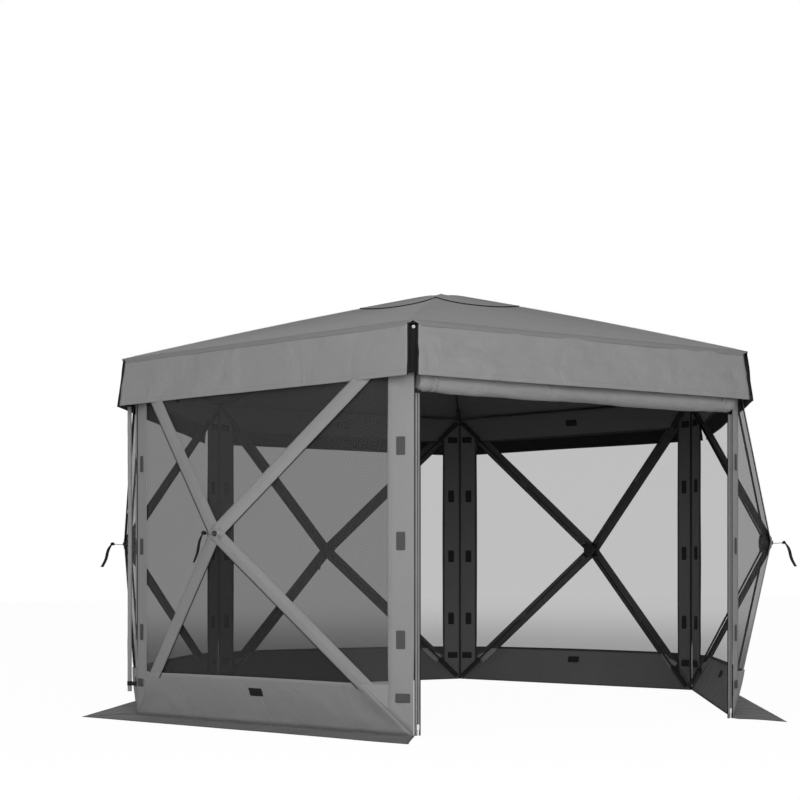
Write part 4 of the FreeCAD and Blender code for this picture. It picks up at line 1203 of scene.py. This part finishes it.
ZIP_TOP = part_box("corner_zips")[1][2]
ZIP_INSET = 0.014
zip_teeth = teeth_tree()
zip_moulding = moulded("zip_moulding", (0.014, 0.014, 0.015), 0.4)
tape_grids, piping_and_shade_grids = [], []
for side in (-1, 1):
    across = side * (HALF_SIDE - ZIP_INSET)
    tape_grids.append([[wall_point(DOOR_ANGLE, across + over, height, 0.0009 - abs(over) * 0.03)
                        for over in steps(-0.011, 0.011, 6)]
                       for height in steps(0.005, ZIP_TOP, 60)])
    # Part piping, part painted shade: these black tubes stand in for the dark shade along the zip tape's edges.
    for over in (-0.0125, 0.0125):
        piping_and_shade_grids.append(tube_rows(
            [wall_point(DOOR_ANGLE, across + over, height, 0.0006)
             for height in steps(0.006, ZIP_TOP + 0.10, 40)], 0.0026, 8))
zip_tapes = mesh_object("zip_tapes", tape_grids, [roll_cloth], lambda _: outward(DOOR_ANGLE))
thicken(zip_tapes, 0.0008)
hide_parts("corner_zips")
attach(zip_tapes, "tent_cover")
teeth_lines = [[wall_point(DOOR_ANGLE, side * (HALF_SIDE - ZIP_INSET), height, 0.0020)
                for height in (0.007, ZIP_TOP)] for side in (-1, 1)]
teeth = run_tree(line_object("zip_teeth", teeth_lines), zip_teeth, Moulding=zip_moulding)
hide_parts("corner_zips")
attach(teeth, "tent_cover")
for bearing in (CORNERS[name] for name in ("left", "rear_left", "rear_right", "right")):
    foot = CENTRE + outward(bearing) * (WALL_SIDE + 0.0015)
    piping_and_shade_grids.append(tube_rows(
        [foot + Vector((0, 0, height)) for height in steps(0.006, WALL_HIGH, 40)], 0.0028, 8))
    inside = CENTRE + outward(bearing) * (WALL_SIDE - 0.0045)
    piping_and_shade_grids.append(tube_rows(
        [inside + Vector((0, 0, height)) for height in steps(0.010, WALL_HIGH, 40)], 0.0040, 8))
corner_piping_and_shade_lines = mesh_object("corner_piping_and_shade_lines", piping_and_shade_grids, [tape])
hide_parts("corner_zips")
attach(corner_piping_and_shade_lines, "tent_cover")

# ---------------------------------------------------------------- zip sliders
# A cast slider rests at the foot of each zip, with its pull hanging down. Both sliders keep
# their shapes from the frame and are plated in nickel.


def plated(name, colour, roughness):
    """Plated or blackened metal: a faint haze that roughens it in patches."""
    material, tree = bare_material(name)
    place = add_node(tree, "ShaderNodeTexCoord").outputs["Object"]
    haze = add_node(tree, "ShaderNodeTexNoise", links=[
        ("Vector", place), ("Scale", 120.0), ("Detail", 3.0)]).outputs["Fac"]
    rough = add_node(tree, "ShaderNodeMapRange", links=[
        ("Value", haze), ("To Min", roughness - 0.05), ("To Max", roughness + 0.12)]).outputs[0]
    bump = add_node(tree, "ShaderNodeBump", links=[
        ("Height", haze), ("Strength", 0.15), ("Distance", 0.0003)]).outputs[0]
    surface = add_node(tree, "ShaderNodeBsdfPrincipled", links=[
        ("Base Color", (*colour, 1)), ("Metallic", 1.0), ("Roughness", rough), ("Normal", bump)])
    add_node(tree, "ShaderNodeOutputMaterial", links=[("Surface", surface.outputs[0])])
    return material


def dress(node, material):
    """Gives a CAD node its finish."""
    kept = frame["nodes"][node]
    kept.data.materials.clear()
    kept.data.materials.append(material)


nickel = plated("nickel_plate", (0.78, 0.77, 0.75), 0.28)
for side in ("left", "right"):
    dress(f"zip_slider_{side}", nickel)

# ---------------------------------------------------------------- poles
# Black lacquered glass-fibre rods with steel ferrules at the middle and the tip. Each outer end
# sits in a stitched pocket of black webbing, whose rolled end it swings on.

POLE_RADIUS = 0.0055
FERRULE_RADIUS = 0.0064
FERRULE_HALF = 0.035
TIP_LENGTH = 0.032
POCKET_LENGTH = 0.165
lacquer = moulded("black_lacquer", (0.006, 0.006, 0.0065), 0.5)
ferrule_steel = plated("blackened_steel", (0.05, 0.05, 0.053), 0.42)


def lathe_rows(start, way, profile, sides=16):
    """Rings along a straight axis from (distance, radius) pairs."""
    side = way.cross(Vector((0.31, 0.17, 0.93))).normalized()
    up = way.cross(side)
    return [[start + way * at + (side * math.cos(turn) + up * math.sin(turn)) * radius
             for turn in steps(0, 2 * math.pi, sides)] for at, radius in profile]


def pole_end(node, start, way):
    """How far a CAD pole reaches along its way."""
    data = frame["nodes"][node].data
    return max((v.co - start).dot(way) for v in data.vertices)


def pocket_rows(start, way, flat_way):
    """A flat sleeve round the pole: wide and thick at its rolled end, slim at its mouth."""
    deep_way = way.cross(flat_way).normalized()
    rows = []
    for share in [-0.026, -0.022, -0.008, *steps(0.01, 1.0, 18)]:
        at = share * POCKET_LENGTH
        rounded = min(1.0, math.sqrt(max(0.0, 1 - (min(share, 0) / 0.028) ** 2)))
        wide = 0.0140 * (1 - 0.10 * max(share, 0)) * (1 if share > 0 else 0.98)
        deep = (0.0060 if share < 0.05 else 0.0068 - 0.0006 * share) * max(rounded, 0.15)
        ring = []
        for turn in steps(0, 2 * math.pi, 24):
            c, s = math.cos(turn), math.sin(turn)
            flat_c = math.copysign(abs(c) ** 0.75, c)
            flat_s = math.copysign(abs(s) ** 1.2, s)
            pinch = 1 + 0.02 * noise.noise(Vector((share * 9, c, s)))
            ring.append(start + way * at + flat_way * flat_c * wide * pinch
                        + deep_way * flat_s * deep)
        rows.append(ring)
    rows.append([start + way * POCKET_LENGTH + flat_way * math.cos(turn) * 0.0058
                 + deep_way * math.sin(turn) * 0.0058 for turn in steps(0, 2 * math.pi, 24)])
    return rows


PLATE_SEAT = 0.0105
roof_pivot = CENTRE + Vector((0, 0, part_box("roof_hub_body")[1][2] - PLATE_SEAT))
PIVOT_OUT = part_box("hub_body_rear")[1][1] - PLATE_SEAT - net_low.y
for joint in frame["joints"]:
    if not joint["name"].startswith("swing_"):
        continue
    body = joint["child"]
    node = frame["record"]["behaviour"]["bodies"][body][0]
    start = Vector(joint["pos_m"])
    if "roof" in joint["name"]:
        hub = roof_pivot
    else:
        wall = next(w for w in HUB_WALLS if joint["name"].startswith(f"swing_{w}_"))
        hub = wall_point(HUB_WALLS[wall], 0, HUB_HEIGHT, PIVOT_OUT)
    way = (hub - start).normalized()
    end = pole_end(node, start, way)
    mid = end / 2
    rod = lathe_rows(start, way, [
        (0.002, 0.0005), (0.0022, 0.0045), (0.004, POLE_RADIUS), (end - TIP_LENGTH, POLE_RADIUS)])
    sleeves = [
        lathe_rows(start, way, [
            (mid - FERRULE_HALF, POLE_RADIUS), (mid - FERRULE_HALF + 0.0006, FERRULE_RADIUS),
            (mid - 0.0012, FERRULE_RADIUS), (mid, FERRULE_RADIUS - 0.0005),
            (mid + 0.0012, FERRULE_RADIUS), (mid + FERRULE_HALF - 0.0006, FERRULE_RADIUS),
            (mid + FERRULE_HALF, POLE_RADIUS)]),
        lathe_rows(start, way, [
            (end - TIP_LENGTH, POLE_RADIUS), (end - TIP_LENGTH + 0.0006, FERRULE_RADIUS),
            (end - 0.003, FERRULE_RADIUS), (end - 0.0006, FERRULE_RADIUS - 0.0018),
            (end, 0.0005)]),
    ]
    shaft = mesh_object(f"rod_{node}", [rod], [lacquer])
    metal = mesh_object(f"ferrules_{node}", sleeves, [ferrule_steel])
    sleeve = mesh_object(f"pocket_{node}", [pocket_rows(start, way, Vector(joint["axis"]))],
                         [tape])
    for piece, slot_name in ((shaft, "pole_black"), (metal, "pole_black"),
                             (sleeve, "black_webbing")):
        face_outwards(piece)
        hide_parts(node)
        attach(piece, body)

# ---------------------------------------------------------------- hubs
# Black moulded hubs: a disc with grooved arms that the pole tips swing in, and a round cap with
# a bevelled rim. Screws hold each cap, and a raised boss marks its middle.

nylon = moulded("black_nylon", (0.007, 0.007, 0.0075), 0.6)
for node in frame["nodes"]:
    if node.startswith(("hub_body", "hub_cap", "roof_hub")):
        dress(node, nylon)

SCREW_RING = 0.62
WALL_CAP_RADIUS = 0.040
ROOF_CAP_RADIUS = 0.050


def cap_detail(name, middle, way, radius, screws, body):
    """A boss, a raised ring and domed screws on a cap's outer face."""
    profile = [(0, radius * 0.30), (0.0022, radius * 0.30), (0.0036, radius * 0.26),
               (0.0042, radius * 0.12), (0.0043, 0.0002)]
    grids = [lathe_rows(middle, way, profile, 28)]
    ring = [(0, radius * 0.50), (0.0016, radius * 0.51), (0.0016, radius * 0.55),
            (0, radius * 0.56)]
    grids.append(lathe_rows(middle, way, ring, 28))
    side = way.cross(Vector((0.31, 0.17, 0.93))).normalized()
    up = way.cross(side)
    for turn in steps(0, 2 * math.pi, screws)[:-1]:
        spot = middle + (side * math.cos(turn) + up * math.sin(turn)) * radius * SCREW_RING
        grids.append(lathe_rows(spot, way, [
            (0, 0.0032), (0.0012, 0.0031), (0.0019, 0.0020), (0.0014, 0.0012), (0.0014, 0.0002)],
            12))
    detail = mesh_object(name, grids, [nylon])
    face_outwards(detail)
    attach(detail, body)


CAP_OUT = cap_low.y - net_low.y
for wall, angle in HUB_WALLS.items():
    face = wall_point(angle, 0, HUB_HEIGHT, CAP_OUT)
    cap_detail(f"cap_detail_{wall}", face, -outward(angle), WALL_CAP_RADIUS, 4, f"hub_{wall}")
cap_detail("cap_detail_roof", CENTRE + Vector((0, 0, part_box("roof_hub_cap")[0][2])),
           Vector((0, 0, -1)), ROOF_CAP_RADIUS, 6, "roof_hub")

# ---------------------------------------------------------------- grommets and rivets
# A dark enamelled grommet reinforces each net point where the strap comes through, and a grey
# snap rivet closes the top of each slit of the valance.

enamel = moulded("dark_enamel", (0.02, 0.02, 0.021), 0.3)
grey_rivet = plated("grey_rivet", (0.42, 0.42, 0.42), 0.45)
for wall, angle in HUB_WALLS.items():
    base = wall_point(angle, 0, HUB_HEIGHT, BULGE + 0.003)
    eyelet = mesh_object(f"grommet_{wall}", [lathe_rows(base, outward(angle), [
        (-0.004, 0.0058), (0.006, 0.0058), (0.0076, 0.0072), (0.0080, 0.0092),
        (0.0068, 0.0118), (0.0036, 0.0125), (-0.001, 0.0125), (-0.004, 0.0058)], 24)], [enamel])
    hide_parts("grommets")
    tie_to_hub(eyelet)
rivets = []
for bearing in CORNERS.values():
    place = CENTRE + outward(bearing) * (SHADE_BACKING_RADIUS + 0.001) + Vector((0, 0, EAVE - 0.024))
    rivets.append(lathe_rows(place, outward(bearing), [
        (0, 0.0085), (0.0014, 0.0085), (0.0026, 0.0070), (0.0031, 0.0045), (0.0024, 0.0038),
        (0.0024, 0.0002)], 20))
rivet_set = mesh_object("slit_rivets", rivets, [grey_rivet])
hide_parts("grommets")
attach(rivet_set, "tent_cover")

# ---------------------------------------------------------------- pull straps
# A pale cord link comes out of each grommet to a knot, and a tail of black webbing hangs from
# it. The strap is pulled to pop the wall out.

pale_cord = moulded("pale_cord", (0.17, 0.17, 0.17), 0.6, grain=900.0, bump_depth=0.0006)
LINK_REACH = 0.068
TAIL_LENGTH = 0.150
for wall, angle in HUB_WALLS.items():
    root = wall_point(angle, 0, HUB_HEIGHT, BULGE - 0.018)
    knot_at = wall_point(angle, 0, HUB_HEIGHT + 0.001, BULGE + LINK_REACH)
    strands = []
    for aside in (-0.0022, 0.0022):
        line = [root.lerp(knot_at, share) + along(angle) * aside * (1 - 0.5 * share)
                + Vector((0, 0, -0.004 * math.sin(math.pi * share)))
                for share in steps(0, 1, 14)]
        strands.append(tube_rows(line, 0.0019, 8))
    link = mesh_object(f"strap_link_{wall}", strands, [pale_cord])
    knot_grids = []
    for turn_at, spread in ((0.0, 0.0062), (0.006, 0.0066), (0.012, 0.0058)):
        middle = knot_at + outward(angle) * (turn_at - 0.002)
        ring = [middle + along(angle) * math.cos(t) * spread * 1.35
                + (Vector((0, 0, 1)) * math.sin(t)) * spread
                + outward(angle) * 0.003 * math.sin(t + turn_at * 200)
                for t in steps(0, 2 * math.pi, 20)]
        knot_grids.append(tube_rows(ring, 0.0030, 8))
    knot = mesh_object(f"strap_knot_{wall}", knot_grids, [tape])
    tail_rows = []
    for share in steps(0, 1, 22):
        out = 0.006 + 0.058 * share ** 0.8 + 0.004 * math.sin(share * 7)
        fall = TAIL_LENGTH * 0.88 * share
        twist = 1.15 + 0.35 * math.sin(share * 3.0)
        half = 0.0085 * (0.55 + 0.45 * min(share * 5, 1))
        spine = knot_at + outward(angle) * out - Vector((0, 0, fall))
        tail_rows.append([
            spine + (along(angle) * math.cos(twist) + outward(angle) * math.sin(twist)) * over
            for over in steps(-half, half, 4)])
    tail = mesh_object(f"strap_tail_{wall}", [tail_rows], [tape])
    thicken(tail, 0.0014)
    for piece in (link, knot, tail):
        face_outwards(piece)
        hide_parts(f"pull_strap_{wall}")
        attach(piece, f"hub_{wall}")
